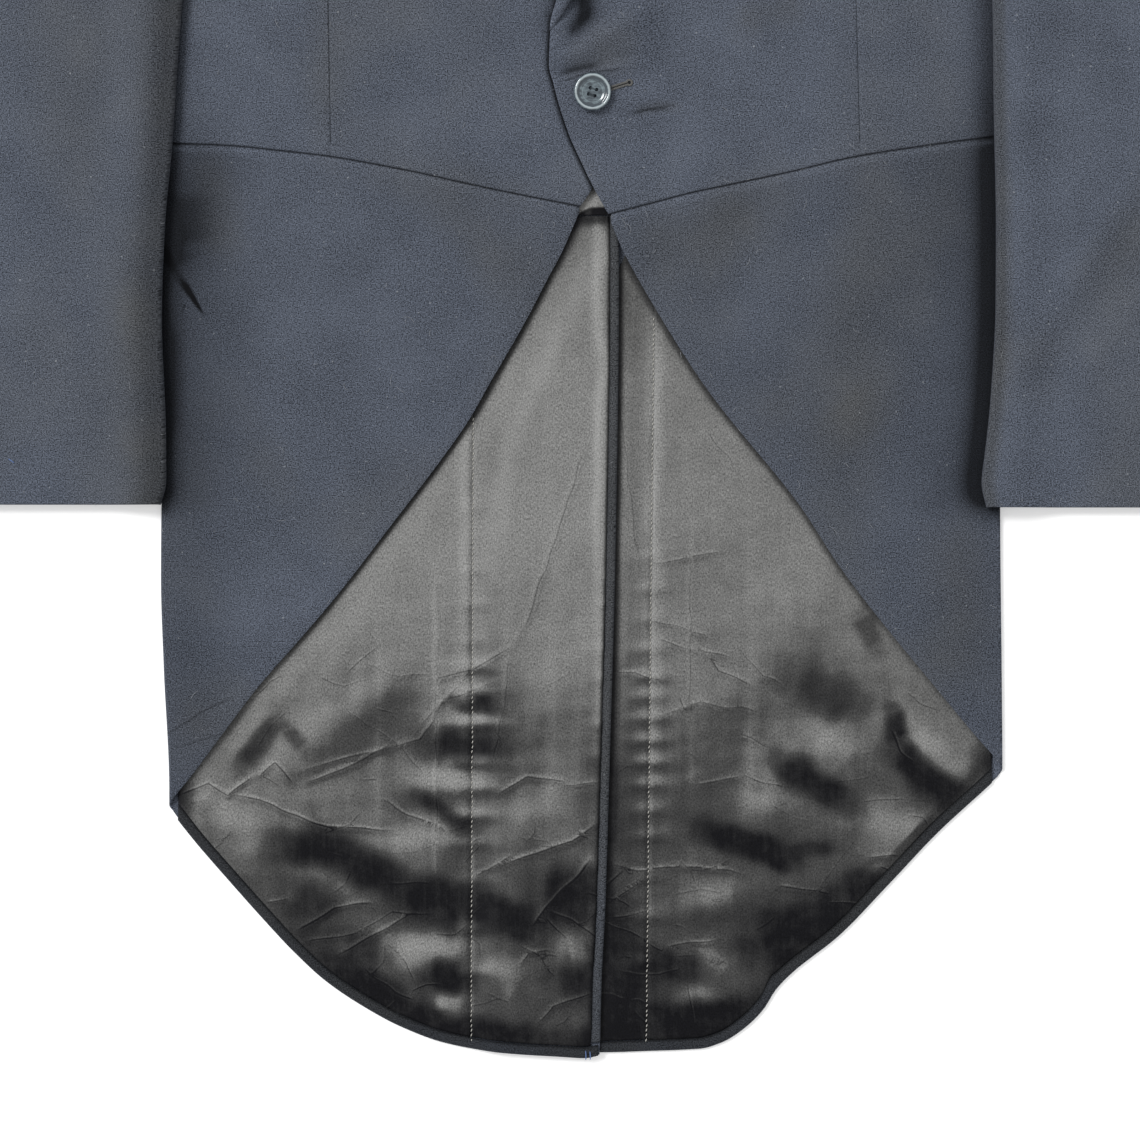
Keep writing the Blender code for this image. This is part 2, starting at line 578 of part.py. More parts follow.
def button(collection, cutters):
    """Four-hole button with a raised rim, a turned profile with its holes cut through."""
    mesh = bpy.data.meshes.new("front_button")
    points = [(radius * MM, 0.0, height * MM) for radius, height in BUTTON_PROFILE]
    mesh.from_pydata(points, [(k, k + 1) for k in range(len(points) - 1)], [])
    mesh.materials.append(material("horn"))
    disc = bpy.data.objects.new("front_button", mesh)
    base = BODY_TOP + OVERLAP + SEAM
    disc.location = place(BUTTON_ACROSS, BUTTON_UP, base)
    disc.rotation_euler.z = math.radians(BUTTON_TURN)
    collection.objects.link(disc)
    turned = disc.modifiers.new("turned", "SCREW")
    turned.steps = turned.render_steps = BUTTON_STEPS
    turned.use_merge_vertices = True
    turned.merge_threshold = 0.00001
    turned.use_normal_calculate = True
    for index in range(4):
        angle = math.radians(45 + 90 * index)
        bpy.ops.mesh.primitive_cylinder_add(vertices=10, radius=BUTTON_HOLE_RADIUS * MM, depth=0.02)
        cutter = bpy.context.object
        cutter.name = f"button_hole_cutter_{index + 1}"
        away = BUTTON_HOLE_SPACING / math.sqrt(2) * MM
        cutter.location = (away * math.cos(angle), away * math.sin(angle), 0.0)
        cutter.parent = disc
        for owner in list(cutter.users_collection):
            owner.objects.unlink(cutter)
        cutters.objects.link(cutter)
        cutter.hide_render = True
        hole = disc.modifiers.new(f"hole_{index + 1}", "BOOLEAN")
        hole.operation = "DIFFERENCE"
        hole.solver = "EXACT"
        hole.object = cutter
    return disc


def build():
    """Clear the scene and make the coat."""
    for item in list(bpy.data.objects):
        bpy.data.objects.remove(item, do_unlink=True)
    coat = bpy.data.collections.new(COAT)
    cutters = bpy.data.collections.new("cutters")
    bpy.context.scene.collection.children.link(coat)
    bpy.context.scene.collection.children.link(cutters)
    for side in ("right", "left"):
        back(side, coat)
        side_body(side, coat)
        skirt(side, coat)
        forepart(side, coat)
        lapel(side, coat)
        sleeve(side, coat)
        tail_lining(side, coat)
        skirt_lining(side, coat)
    neck_lining(coat)
    turn_ups(coat)
    collar(coat)
    button(coat, cutters)


build()
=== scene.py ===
"""A morning coat laid flat on its back with its one button fastened, dressed for the picture.

Lengths are in millimetres until a mesh is made. A place on the cloth is given by out, the distance from
the centre line towards that side, and up, the height above the tail hem. Across is the same distance
counted towards the wearer's left. Right and left are the wearer's. Every panel is a surface of two
parameters on a grid: its rows run up the coat and its columns across, from one edge line to another.
"""
import math

import bpy
import numpy as np
from bpy.props import FloatProperty, FloatVectorProperty, IntProperty, PointerProperty
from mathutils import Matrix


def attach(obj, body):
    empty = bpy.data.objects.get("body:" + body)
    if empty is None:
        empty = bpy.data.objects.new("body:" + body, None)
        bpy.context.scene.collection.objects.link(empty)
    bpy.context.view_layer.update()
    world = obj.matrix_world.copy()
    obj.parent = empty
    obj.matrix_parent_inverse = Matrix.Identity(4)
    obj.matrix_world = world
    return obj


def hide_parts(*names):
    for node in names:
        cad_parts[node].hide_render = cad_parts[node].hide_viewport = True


bl_info = {
    "name": "Morning coat",
    "version": (1, 0, 0),
    "blender": (4, 5, 0),
    "location": "3D View > Sidebar > Coat",
    "description": "Makes the cloth, lining, button and sewing of a morning coat laid flat",
    "category": "Add Mesh",
}

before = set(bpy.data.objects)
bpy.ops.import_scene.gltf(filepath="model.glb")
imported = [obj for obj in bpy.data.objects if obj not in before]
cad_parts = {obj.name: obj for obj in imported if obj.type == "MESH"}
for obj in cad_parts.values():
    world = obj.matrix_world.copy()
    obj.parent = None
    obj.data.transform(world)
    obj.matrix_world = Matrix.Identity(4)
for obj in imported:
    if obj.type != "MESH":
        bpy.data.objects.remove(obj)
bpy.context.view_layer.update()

MM = 0.001
# The camera's sensor in millimetres, and the height in metres that its view width is measured at
SENSOR_WIDTH = 36.0
COAT_TOP = 0.006
LENGTH = 1000.0
WOOL = 1.5
SATIN = 1.0
SEAM = 0.3
BACK_Z = WOOL / 2
LINING_Z = WOOL + SEAM + SATIN / 2
FRONT_Z = WOOL + SATIN + 2 * SEAM + WOOL / 2
OVERLAP = WOOL + SEAM
LAPEL_RISE = WOOL + 1.2
FOLD = (FRONT_Z - BACK_Z) / 2
BODY_TOP = FRONT_Z + WOOL / 2

SLEEVE_GAP = 3.4
SLEEVE_FOLD = (WOOL + SLEEVE_GAP) / 2
SLEEVE_EASE = 3.0
SLEEVE_SLOPE = 30.0
SLEEVE_HEAD_GAP = 0.4
SLEEVE_JOIN = 25.0
# How far the fold of a sleeve laps the body at the underarm point
SLEEVE_LAP = 2.6
# Heights between which the edges at the side turn out of the armhole into their full fold
UNDERARM = (745, 715)
BODY_TURN = math.radians(66)
SLEEVE_TURN = math.radians(77)
TURN_SHARES = (1.0, 0.75, 0.5, 0.25)

HEM_TURN = 5.5
VENT_TURN = 4.6
LINING_TUCK = 40.0
WAIST_LINING = 457.0
VENT_TOP = 457.0
VENT_LAP = 430.0
VENT_TURN_START = 8.6
TAIL_LIFT = WOOL + SATIN + 2 * SEAM
TAIL_RAMP = (22.0, 4.0)
TAIL_LINING_EASE = 1.06
LAP_RAMP = 22.0
LAPEL_UNDER = (534.0, 548.0)
SIDE_WAIST_OUT = 226.0
BACK_WAIST_UP = 470.0
LAPPED_LINING_INSET = 4.0
TURN_UP_INSET = 0.2
TURN_UP_END = {"right": -7.2, "left": -38.0}
SKIRT_LINING_OUT = 221.0
SHOULDER_POINT = (225, 935)
BACK_NECK = ((72, 972), (40, 967.5), (0, 965))

# Spacing of the grids' lines: what shows, what lies underneath, and the finely creased lining
TOP_STEP = 3.4
UNDER_STEP = 6.0
LINING_STEP = 1.3
# Lines set close together beside an edge or seam, so that it turns over cleanly
EDGE_LINES = (0.0, 0.5, 1.2, 2.4)
SKIRT_EDGE_SHARES = (0, 0.0015, 0.004, 0.008)
# Rows of a skirt between those lines, columns round its side fold, and rows of its lining
SKIRT_ROWS = 132
FOLD_COLUMNS = 13
SKIRT_LINING_ROWS = 176
# Columns of a forepart close beside its dart
DART_COLUMNS = 17
# Where the back part of a skirt ends, and where the fine columns of its front part start
SKIRT_TURN_OUT = 215.0
SKIRT_POINT_OUT = {"right": 3.0, "left": 14.2}
# Darkness of a skirt all over, and more of it towards its side fold
SKIRT_SHADE = {"right": (0.07, 0.24), "left": (0.14, 0.1)}
# Half width of the dark line in a waist seam, and how far away a place with no line counts
SEAM_LINE = 1.15
NO_LINE = 9.0
# How far the shade of a thin crease reaches in the wool and in the lining
WOOL_CREASE_REACH = 5.0
SATIN_CREASE_REACH = 2.4

BACK_SEAM_UPS = (475, 520, 570, 620, 680, 740)
FOREPART_SIDE_UPS = (520, 548, 580, 610, 640, 672, 704)
FOREPART_FRONT_RISE = (14, 28, 42, 56, 68, 80, 92, 108, 130, 155, 183, 220, 265, 320, 380, 445)
ARMHOLE_UPS = (736, 758, 776, 792, 808, 835, 865, 895, 918, 935)
SLEEVE_UPS = (330, 370, 430, 500, 570, 640, 700)
SIGN = {"right": -1.0, "left": 1.0}
# Spacing in metres of the wool's twill lines and thicker yarns, and of the turns of a thread
TWILL_SPACING = 0.0011
YARN_SPACING = 0.0032
TWIST_SPACING = 0.0005

# Side of the body, columns up and out
SIDE_EDGE = {
    "right": ((0, 226), (145, 226), (212, 229), (260, 230.5), (320, 230), (400, 228), (496, 228),
              (600, 235), (700, 243), (736, 245)),
    "left": ((0, 227), (160, 227), (212, 226.6), (300, 225.8), (400, 226), (496, 226),
             (600, 234), (700, 243), (736, 245)),
}

# Armhole, columns up and out
ARMHOLE = ((736, 245), (750, 226), (762, 215), (776, 207.5), (800, 199), (830, 196), (880, 203), (935, 225))

# Waist seam on the fronts, columns out and up
WAIST = {
    "right": ((2, 461.6), (34, 468), (68, 475), (100, 482), (139, 489), (165, 492), (195, 495), (222, 496)),
    "left": ((13, 457.3), (36, 463.4), (56, 468.8), (84, 474.6), (112, 480.6), (145, 488.4), (181, 494.3),
             (221, 499.7)),
}

# Cutaway edge of the skirt, columns out and up
CUTAWAY = {
    "right": ((2.2, 460.7), (6, 451.8), (13, 436), (20, 423), (29, 405.5), (41, 384), (51.5, 366),
              (62, 347.4), (74.3, 329.5), (105, 289), (136.6, 248.2), (156, 225.5), (177.8, 200.5),
              (195.7, 176.7), (221.7, 143.1), (226, 139)),
    "left": ((12.7, 456.6), (19.5, 440), (32.8, 415.7), (56.4, 377.2), (69.9, 357.7), (116.5, 299.7),
             (138.2, 266.4), (156.6, 242), (185.9, 206), (221.1, 164.2), (227, 158)),
}

# Hem of the skirt and tail, columns out and up
HEM = {
    "right": ((-8, 1.6), (0, 0), (14, 0.8), (36, 2.1), (58, 4.3), (76.7, 8), (100.3, 16.8), (123.6, 29.6),
              (141.5, 42), (158.8, 58), (175.6, 76), (191.9, 94.3), (210.3, 115.4), (226, 135)),
    "left": ((-44, 2.4), (8, 2.6), (35, 3.4), (62.3, 4.6), (74.3, 8), (85.6, 15), (96.5, 25.5),
             (103.5, 36.5), (112.7, 46), (137.7, 65.8), (165.9, 94.9), (191.6, 122), (224.4, 152.3),
             (227, 155)),
}

# Pleat between tail and skirt, columns up and out
PLEAT = {"right": ((0, 62), (475, 60.5)), "left": ((0, 33.5), (475, 38.5))}

# Edge of the back at the vent and centre seam, columns up and out
CENTRE = {
    "right": ((0, -7.9), (42, -8.9), (79, -10.8), (161, -13.3), (270, -16.3), (400, -18.2), (457, -18.4),
              (600, -12), (800, -4), (965, 0)),
    "left": ((0, -42), (250, -40), (300, -34), (340, -24), (370, -12), (400, 2), (425, 13), (440, 18.6),
             (457, 18.7), (600, 12.3), (800, 4.3), (965, 0.3)),
}

# Seam between back and side body, columns up and out
BACK_SEAM = {
    "right": ((475, 60.5), (520, 68), (600, 95), (680, 138), (740, 172), (776, 207.5)),
    "left": ((475, 38.5), (520, 50), (600, 85), (680, 132), (740, 170), (776, 207.5)),
}

# Front edge and lapel roll, columns up and out, the same on both sides above the buttoned part
LAPEL_ROLL = ((640, 0), (700, 13), (800, 35), (925, 62), (971, 69))
FRONT_EDGE = {
    "right": ((462, 2.4), (471.5, -3.8), (482, -8), (495, -14), (512, -18.5), (523, -20), (546, -20),
              (560, -18), (573, -14.6), *LAPEL_ROLL),
    "left": ((457, 13), (473.7, 3.7), (487.3, -2.7), (498, -7.6), (508.4, -11.4), (519, -14.7),
             (528, -17), (537.7, -19.4), (546, -19.2), (560, -18.2), (573.4, -14.6), *LAPEL_ROLL),
}

# Outer edge of the lapel, columns up and out
LAPEL_EDGE = (
    (556, -18.4), (559, -16.2), (564, -12.5), (573.4, -6.5), (600, 12), (640, 38), (700, 70), (760, 98),
    (820, 124), (870, 144), (905, 151),
)
LAPEL_UPS = (556, 565, 587, 612, 640, 677, 722, 777, 837, 885)
GORGE = ((60, 914.5), (105, 884.5), (151, 905))

# Left front held up where it laps over the right, columns up and across
LAP_HOLD = ((400, 0), (420, 12), (440, 24), (457, 25), (500, 25), (523, 26), (573, 24), (640, 8),
            (700, -8), (760, -30), (971, -90))

# Collar from the gorge to the centre back, columns inner out, inner up, outer out, outer up
COLLAR = ((61, 915.5, 106, 886), (62.5, 922, 118, 898), (64, 932, 122, 925), (62, 945, 112, 957),
          (52, 955, 88, 982), (30, 961, 48, 996), (0, 962, 0, 1000))
COLLAR_RAMP = (35.0, 62.0)

# Lining seen in the neck, columns up and half width
NECK_LINING = ((457.3, 50), (560, 45), (640, 35), (800, 62), (920, 88), (964, 76))

# Sleeve, columns up and out, its head the same on both sides
SLEEVE_HEAD = ((700, 403), (736, 405), (776, 402), (808, 393), (835, 380), (865, 357), (895, 324),
               (918, 288), (935, 236))
SLEEVE_INNER = {
    "right": ((300, 229.5), (312, 226.4), (340, 226.6), (400, 228.8), (449, 227.2), (496, 223),
              (546, 219.6), (573, 217.5), (640, 212), (700, 207), (736, 205), (776, 207.5)),
    "left": ((298.5, 217), (311.7, 214.4), (326, 216), (347, 218.4), (367, 220), (407, 222), (449, 222.2),
             (518, 220.9), (573, 220.2), (640, 214), (700, 208), (736, 205), (776, 207.5)),
}
SLEEVE_OUTER = {
    "right": ((300, 371), (400, 376), (500, 384), (600, 394), *SLEEVE_HEAD),
    "left": ((298.5, 360), (400, 368), (500, 379), (600, 392), *SLEEVE_HEAD),
}

# Waist darts in the fronts, columns up and out
DART = {"right": ((489, 138), (573, 139.2), (700, 141)), "left": ((491, 149.4), (573, 147), (700, 143))}
DART_TOP = 690.0

BUTTON_ACROSS = 4.1
BUTTON_UP = 523.0
BUTTON_TURN = -16.0
BUTTON_HOLE_SPACING = 3.45
BUTTON_HOLE_RADIUS = 1.0
BUTTON_SIDES = 96
# Buttonhole on the left front, both ends across and up, with its stitches' spacing and the slit's columns
BUTTONHOLE = ((14.2, 525.2), (23.2, 528.0))
BUTTONHOLE_SPACING = 0.52
SLIT_COLUMNS = 24
# How high the rows of prick stitches run
STITCH_TOPS = {"right": 348.0, "left": 401.0}
# Radius of each kind of thread
THREAD_RADIUS = {"button": 0.15, "buttonhole": 0.24, "prick": 0.3, "basting": 0.28, "lint": 0.075}
# Loose basting ends, columns first across and up, last across and up, height if not at the hem
BASTING_ENDS = ((0.4, -1.2, 0.3, 4.2, 3.2), (2.8, -1.0, 2.6, 3.8, 3.4), (-311.6, 324.6, -308.2, 322.2, 11.0))
# Lint lies only on cloth higher and less dark than this, in metres and as a share
LINT_ABOVE = 0.0038
LINT_DARKEST = 0.34
# Share of the lint on each piece
LINT_SHARES = {"forepart_right": 0.2, "forepart_left": 0.2, "skirt_right": 0.15, "skirt_left": 0.17,
               "top_sleeve_right": 0.15, "top_sleeve_left": 0.13}
# Button from its centre out, columns radius and height
BUTTON_PROFILE = ((0, 0), (5.0, 0), (7.4, 0), (8.8, 0.35), (9.7, 1.0), (10.15, 1.8), (10.2, 2.4), (10.0, 3.0),
                  (9.6, 3.45), (9.1, 3.6), (8.7, 3.52), (8.3, 3.2), (7.9, 2.75), (7.4, 2.5), (6.6, 2.45),
                  (6.1, 2.3), (5.8, 2.05), (5.2, 2.0), (3.0, 1.9), (0, 1.85))

# Soft rises that every layer of the fronts shares, columns across, up, length, breadth, turn, rise
FRONT_MOUNDS = (
    (-118, 425, 62, 30, -38, 2.6), (-62, 372, 40, 24, -55, 1.6), (-165, 330, 60, 24, 62, 2.0),
    (-120, 560, 74, 40, 12, 2.2), (-52, 500, 46, 22, 24, 1.8), (-186, 228, 42, 22, 46, 1.6),
    (-196, 180, 26, 12, 30, 1.3), (84, 500, 66, 28, -14, 2.0), (120, 408, 62, 30, 44, 2.4),
    (66, 424, 30, 14, 24, 1.6), (168, 330, 58, 26, -58, 2.2), (176, 236, 44, 20, -62, 1.6),
    (112, 566, 70, 32, 8, 2.2), (4, 470, 24, 16, 0, 1.5), (40, 600, 60, 34, 50, 1.8),
    (-60, 660, 80, 50, 30, 2.0), (110, 700, 90, 46, -20, 2.2), (-110, 780, 70, 40, 70, 1.6),
    (90, 800, 60, 36, -60, 1.6), (150, 850, 40, 30, 10, 1.0),
)
# Ridges and troughs of the left front round its button, columns width, rise, then places across and up
BUTTON_CREASES = (
    (4.2, 1.3, (-19, 545), (-8, 543), (4, 548), (16, 556), (30, 563)),
    (6.0, -1.0, (-8, 556), (4, 560), (18, 566)),
    (3.0, -0.7, (-15, 534), (-2, 537), (12, 540), (30, 543)),
    (3.2, 0.9, (-16, 527), (-3, 531), (13, 535), (34, 538)),
    (2.6, -0.8, (17, 510), (30, 514), (44, 517), (58, 518)),
    (3.0, 0.6, (20, 506), (34, 509), (52, 512)),
)
# Creases of both fronts and skirts, columns width, rise, then places across and up
FRONT_CREASES = (
    (5.0, 0.9, (-222, 434), (-214, 418), (-204, 400), (-196, 380)),
    (3.4, 1.1, (-228, 176), (-208, 184), (-188, 193)),
    (3.0, -0.5, (-226, 186), (-206, 193), (-192, 199)),
    (9.0, 0.8, (30, 452), (62, 460), (98, 476)),
    (10.0, -0.5, (34, 436), (64, 444), (98, 462)),
    (10.0, 0.8, (-104, 492), (-70, 462), (-28, 420)),
    (8.0, 0.7, (84, 572), (104, 580), (124, 586)),
    (7.0, 0.7, (196, 300), (206, 240), (196, 196)),
    (12.0, 0.8, (-184, 470), (-176, 380), (-158, 306)),
)
# Creases of the sleeves, columns width, rise, then places across and up
SLEEVE_CREASES = (
    (9.0, 1.4, (318, 500), (286, 452), (258, 408), (230, 364)),
    (12.0, -0.8, (316, 470), (284, 426), (250, 374)),
    (9.0, 1.0, (306, 418), (280, 386), (262, 352)),
    (12.0, 0.9, (-300, 520), (-296, 440), (-304, 340)),
    (10.0, 0.8, (-262, 560), (-256, 470), (-250, 330)),
    (12.0, 1.2, (-330, 640), (-300, 600), (-262, 588)),
    (12.0, 1.2, (350, 650), (310, 606), (268, 590)),
    (10.0, 1.0, (-350, 720), (-300, 700), (-250, 712)),
    (10.0, 1.0, (352, 730), (300, 704), (252, 716)),
)

# Painted shade along thin creases of the fronts and skirts, drawn as dark lines, columns width, strength,
# then places across and up
WOOL_CREASES = (
    ((18, 4), 1.8, (-240, 453), (-228, 436), (-217, 419), (-205.5, 401)),
    (3.0, 0.55, (-16, 528.4), (0, 532.5), (21, 537)), (3.4, 0.4, (27, 512.6), (38, 515), (50, 517.5)),
    (3.0, 0.5, (-229, 174), (-210, 186), (-190, 196)), (3.0, 0.35, (-224, 166), (-208, 173), (-194, 176)),
    (3.0, 0.3, (212, 200), (206, 178), (200, 168)), (3.0, 0.3, (-20, 545), (-8, 549), (4, 549)),
)

# Painted shade: browner and darker patches where the cloth's slopes, troughs and nap turn from the light,
# columns width, strength, then places
BROWN = (
    (20, 0.65, (-116, 494), (-76, 462), (-28, 414)), (15, 0.36, (-190, 488), (-180, 357), (-158, 300)),
    (14, 0.65, (-200, 494), (-206, 432)), (22, 0.5, (-150, 318), (-90, 312), (-154, 290)),
    (20, 0.65, (-176, 206), (-216, 172)), (11, 0.43, (-72, 482), (-28, 466)),
    (11, 0.22, (-141, 500), (-144, 600)), (22, 0.65, (28, 434), (62, 443), (97, 464)),
    (27, 0.5, (136, 358), (156, 334)), (16, 0.29, (98, 358), (112, 350)),
    (24, 0.61, (198, 298), (204, 238), (190, 198)), (12, 0.72, (82, 562), (120, 572)),
    (14, 0.65, (0, 549), (34, 562)), (12, 0.58, (-14, 534), (10, 538), (34, 545)),
    (5, 0.65, (24, 512), (40, 516), (56, 516)), (24, 0.65, (306, 462), (268, 411), (228, 357)),
    (19, 0.29, (-306, 410), (-304, 320)), (16, 0.36, (-247, 430), (-247, 306)),
    (40, 0.36, (-80, 640), (-40, 800)), (40, 0.36, (100, 660), (60, 820)),
    (32, 0.36, (-330, 700), (-280, 620)), (32, 0.36, (340, 720), (290, 640)),
    (19, 0.36, (-110, 250), (-190, 340)), (16, 0.36, (60, 330), (110, 280)),
)
# Painted shade, nearly black, in hollows, columns width, strength, then places
BLACK = (
    (12.0, 0.35, (-216, 470), (-212, 440)), (9.0, 0.4, (-228, 446), (-220, 428)),
    (9.0, 0.3, (-232, 400), (-226, 330)), (5.5, 1.0, (-2, 566), (0, 575), (6, 590)),
    (5.0, 0.9, (-9, 553), (-4, 559), (4, 568)), (2.2, 0.8, (-14, 533), (-4, 536), (8, 538)),
    (1.6, 0.6, (24, 511), (34, 514), (46, 515)),
)

# Painted reflection: dark places where the lining's sheen turns away, columns width, strength, then places
# across and up
SATIN_DARK = (
    (9, 1.0, (-84, 169), (-46, 168)), (4, 0.8, (-72, 191), (-50, 191)),
    (10, 1.0, (-166, 113), (-142, 115), (-121, 104), (-102, 92)), (15, 1.0, (-98, 86), (-66, 80)),
    (10, 0.9, (-60, 84), (-42, 75), (-27, 68)), (17, 0.9, (-22, 90), (4, 84)),
    (8.5, 1.0, (-86, 44), (-66, 42)), (8, 0.5, (-15, 42), (4, 42)),
    (9, 0.9, (-146, 56), (-111, 32), (-73, 14), (-20, 6)), (5, 0.6, (-92, 142), (-76, 132), (-62, 122)),
    (7.5, 1.0, (105, 162), (121, 150), (142, 139)), (5, 0.9, (166, 188), (170, 172)),
    (9, 1.0, (170, 168), (184, 151), (203, 139)), (8, 1.0, (66, 122), (88, 116), (114, 107)),
    (5, 0.5, (112, 110), (140, 114)), (14, 1.1, (94, 62), (114, 68), (141, 80)),
    (8, 0.8, (138, 92), (165, 94)), (11, 0.9, (62, 14), (90, 22)), (18, 1.0, (11, 28), (33, 34)),
    (8, 0.5, (28, 53), (64, 48)), (11, 0.8, (37, 19), (81, 19)),
    (6, 0.5, (-187, 158), (-177, 170), (-166, 182)), (5, 0.4, (-160, 178), (-152, 168)),
    (13, 0.45, (116, 206), (142, 188)), (24, 0.14, (-136, 230), (-110, 180), (-84, 130)),
    (22, 0.2, (64, 158), (80, 130)), (18, 0.2, (-45, 210), (-36, 160)), (16, 0.2, (12, 170), (14, 110)),
    (14, 0.45, (-160, 90), (-140, 70)), (12, 0.5, (-8, 8), (26, 10)), (12, 0.5, (10, 60), (24, 72)),
    (6, 0.3, (150, 240), (160, 222)), (9, 0.5, (-128, 62), (-110, 56)),
)
# Painted highlights: lighter places where the lining's sheen shines, the same columns
SATIN_LIGHT = (
    (12, 0.75, (-104, 58), (-66, 52)), (6, 0.9, (-82, 26), (-66, 30)), (9, 0.8, (-10, 58), (2, 60)),
    (11, 0.65, (-54, 52), (-34, 38)), (10, 0.45, (-196, 140), (-180, 108)),
    (12, 0.5, (130, 176), (146, 160)), (9, 0.6, (-92, 152), (-62, 150)), (12, 0.5, (-104, 118), (-70, 110)),
    (10, 0.5, (60, 84), (84, 88)), (12, 0.4, (96, 146), (86, 118)), (11, 0.5, (182, 116), (150, 132)),
    (9, 0.6, (176, 176), (206, 150)), (8, 0.5, (60, 62), (76, 44)), (7, 0.5, (46, 30), (80, 34)),
    (3.2, 0.5, (8, 456), (8, 350), (6, 270)), (3.0, 0.4, (40, 392), (38, 330), (37, 262)),
    (2.6, 0.35, (-65, 345), (-64, 250)), (1.0, 0.3, (-81, 262), (-81, 100)),
    (8, 0.35, (-150, 200), (-116, 250)), (7, 0.5, (-8, 16), (2, 22)),
)
# Sharp creases of the lining, raised in its relief and painted as dark lines of shade with a highlight beside
# them, columns width, rise, then places across and up
SATIN_CREASES = (
    (1.7, 0.5, (1, 335), (-5, 314), (-14, 288), (-21, 266), (-28, 246), (-38, 223)),
    (1.7, 0.6, (-40, 223), (-49, 217), (-61, 210), (-89, 204)), (1.6, 0.4, (-61, 209), (-89, 181)),
    (1.6, 0.5, (35, 268), (51, 270), (74, 275)), (1.6, 0.5, (35, 237), (47, 235), (68, 228)),
    (1.8, 0.6, (62, 223), (73, 210), (91, 202)), (1.6, 0.5, (17, 209), (28, 208), (43, 204)),
    (1.5, 0.4, (43, 186), (62, 192), (95, 188)), (1.8, 0.8, (-46, 104), (-24, 112), (-7, 118), (7, 127)),
    (1.8, 0.8, (-28, 71), (-21, 82), (-7, 96), (4, 108)), (1.6, 0.6, (-19, 80), (-7, 75), (6, 65)),
    (1.6, 0.6, (-25, 18), (-17, 28), (4, 35)), (1.6, 0.6, (-35, 50), (-31, 57), (-19, 58)),
    (1.8, 0.7, (-47, 143), (-31, 152), (-10, 150)),
    (1.7, 0.7, (14, 104), (33, 101), (51, 104), (80, 101), (89, 98)), (1.5, 0.5, (13, 84), (33, 97)),
    (1.5, 0.4, (13, 75), (40, 80)), (1.8, 0.8, (-220, 142), (-204, 149), (-194, 142), (-179, 154)),
    (1.8, 0.8, (-194, 142), (-178, 140), (-159, 132), (-140, 125), (-124, 124), (-102, 123)),
    (1.7, 0.6, (-151, 149), (-133, 155), (-106, 170)), (1.8, 0.7, (-111, 140), (-96, 131), (-74, 124)),
    (1.8, 0.7, (-156, 68), (-136, 81), (-113, 84)), (1.6, 0.5, (-152, 63), (-118, 68)),
    (1.7, 0.6, (-134, 55), (-113, 67), (-92, 79)), (1.5, 0.6, (-172, 84), (-162, 86)),
    (1.5, 0.6, (132, 84), (149, 83)), (1.6, 0.6, (104, 93), (133, 89)), (1.6, 0.6, (154, 109), (170, 109)),
    (1.6, 0.6, (160, 103), (167, 101)), (1.8, 0.5, (-154, 156), (-89, 172), (-76, 194), (-46, 205)),
    (1.5, 0.4, (-14, 148), (8, 149)), (1.6, 0.5, (38, 227), (57, 221), (79, 218)),
    (1.8, 0.7, (-178, 152), (-168, 160), (-158, 148)), (1.6, 0.5, (-120, 48), (-104, 36), (-92, 30)),
    (1.8, 0.6, (166, 178), (172, 166), (178, 160)), (1.6, 0.5, (60, 148), (84, 152)),
    (1.6, 0.5, (-60, 98), (-40, 110)), (1.5, 0.5, (100, 168), (84, 176)),
    (1.5, 0.5, (-36, 62), (-24, 54), (-16, 44)), (1.6, 0.6, (44, 60), (72, 64)),
    (1.2, 0.25, (-80.5, 268), (-80.8, 190), (-80.5, 100)), (1.2, 0.2, (-116, 262), (-112, 236), (-110, 210)),
    (1.2, 0.25, (-45, 420), (-52, 360), (-64, 300)), (1.2, 0.25, (-33, 440), (-46, 380), (-70, 310)),
    (1.2, 0.3, (-40, 222), (-44, 190), (-50, 160)), (1.2, 0.3, (57, 274), (57.5, 230), (57, 190)),
    (1.4, 0.4, (84, 222), (96, 207), (108, 202)), (1.4, 0.4, (66, 340), (80, 322)),
    (1.3, 0.3, (10, 424), (22, 330), (30, 260)), (1.4, 0.4, (-120, 214), (-100, 206), (-84, 208)),
    (1.4, 0.35, (-132, 190), (-104, 172), (-84, 150)), (1.5, 0.5, (20, 46), (40, 44), (52, 48)),
)
# Broad rises of the lining, columns across, up, length, breadth, turn, rise
SATIN_MOUNDS = (
    (-84, 56, 24, 12, 8, 2.0), (-74, 28, 10, 5, 10, 1.3), (-5, 60, 10, 12, 0, 1.5),
    (-42, 44, 18, 9, -30, 1.6), (138, 168, 18, 10, -45, 1.8), (98, 132, 28, 12, -16, 1.8),
    (182, 118, 22, 10, -38, 1.6), (192, 164, 22, 8, -42, 1.6), (-150, 168, 28, 12, 40, 1.7),
    (-112, 196, 24, 12, 52, 1.4), (-192, 128, 18, 9, -40, 1.4), (-80, 148, 20, 8, 4, 1.5),
    (72, 84, 20, 10, 10, 1.5), (70, 46, 16, 8, -34, 1.4), (-86, 116, 24, 10, 6, 1.5),
    (60, 30, 20, 6, 8, 1.0), (-30, 128, 16, 10, 30, 1.0), (-20, 190, 14, 18, 0, 0.9),
    (120, 236, 26, 14, -50, 1.2), (70, 190, 22, 16, 0, 1.0), (-150, 96, 22, 8, -30, 1.2),
)
# Painted reflection of the lining's sheen, darker lower down and a little darker again near the waist: how
# dark the lining is at each height, columns up and darkness
SATIN_TONE = (
    (0, 0.82), (5, 0.77), (30, 0.63), (53, 0.57), (77, 0.51), (100, 0.44), (126, 0.38), (150, 0.33),
    (165, 0.3), (190, 0.25), (213, 0.19), (240, 0.13), (300, 0.05), (360, 0.06), (400, 0.15), (457, 0.3),
)
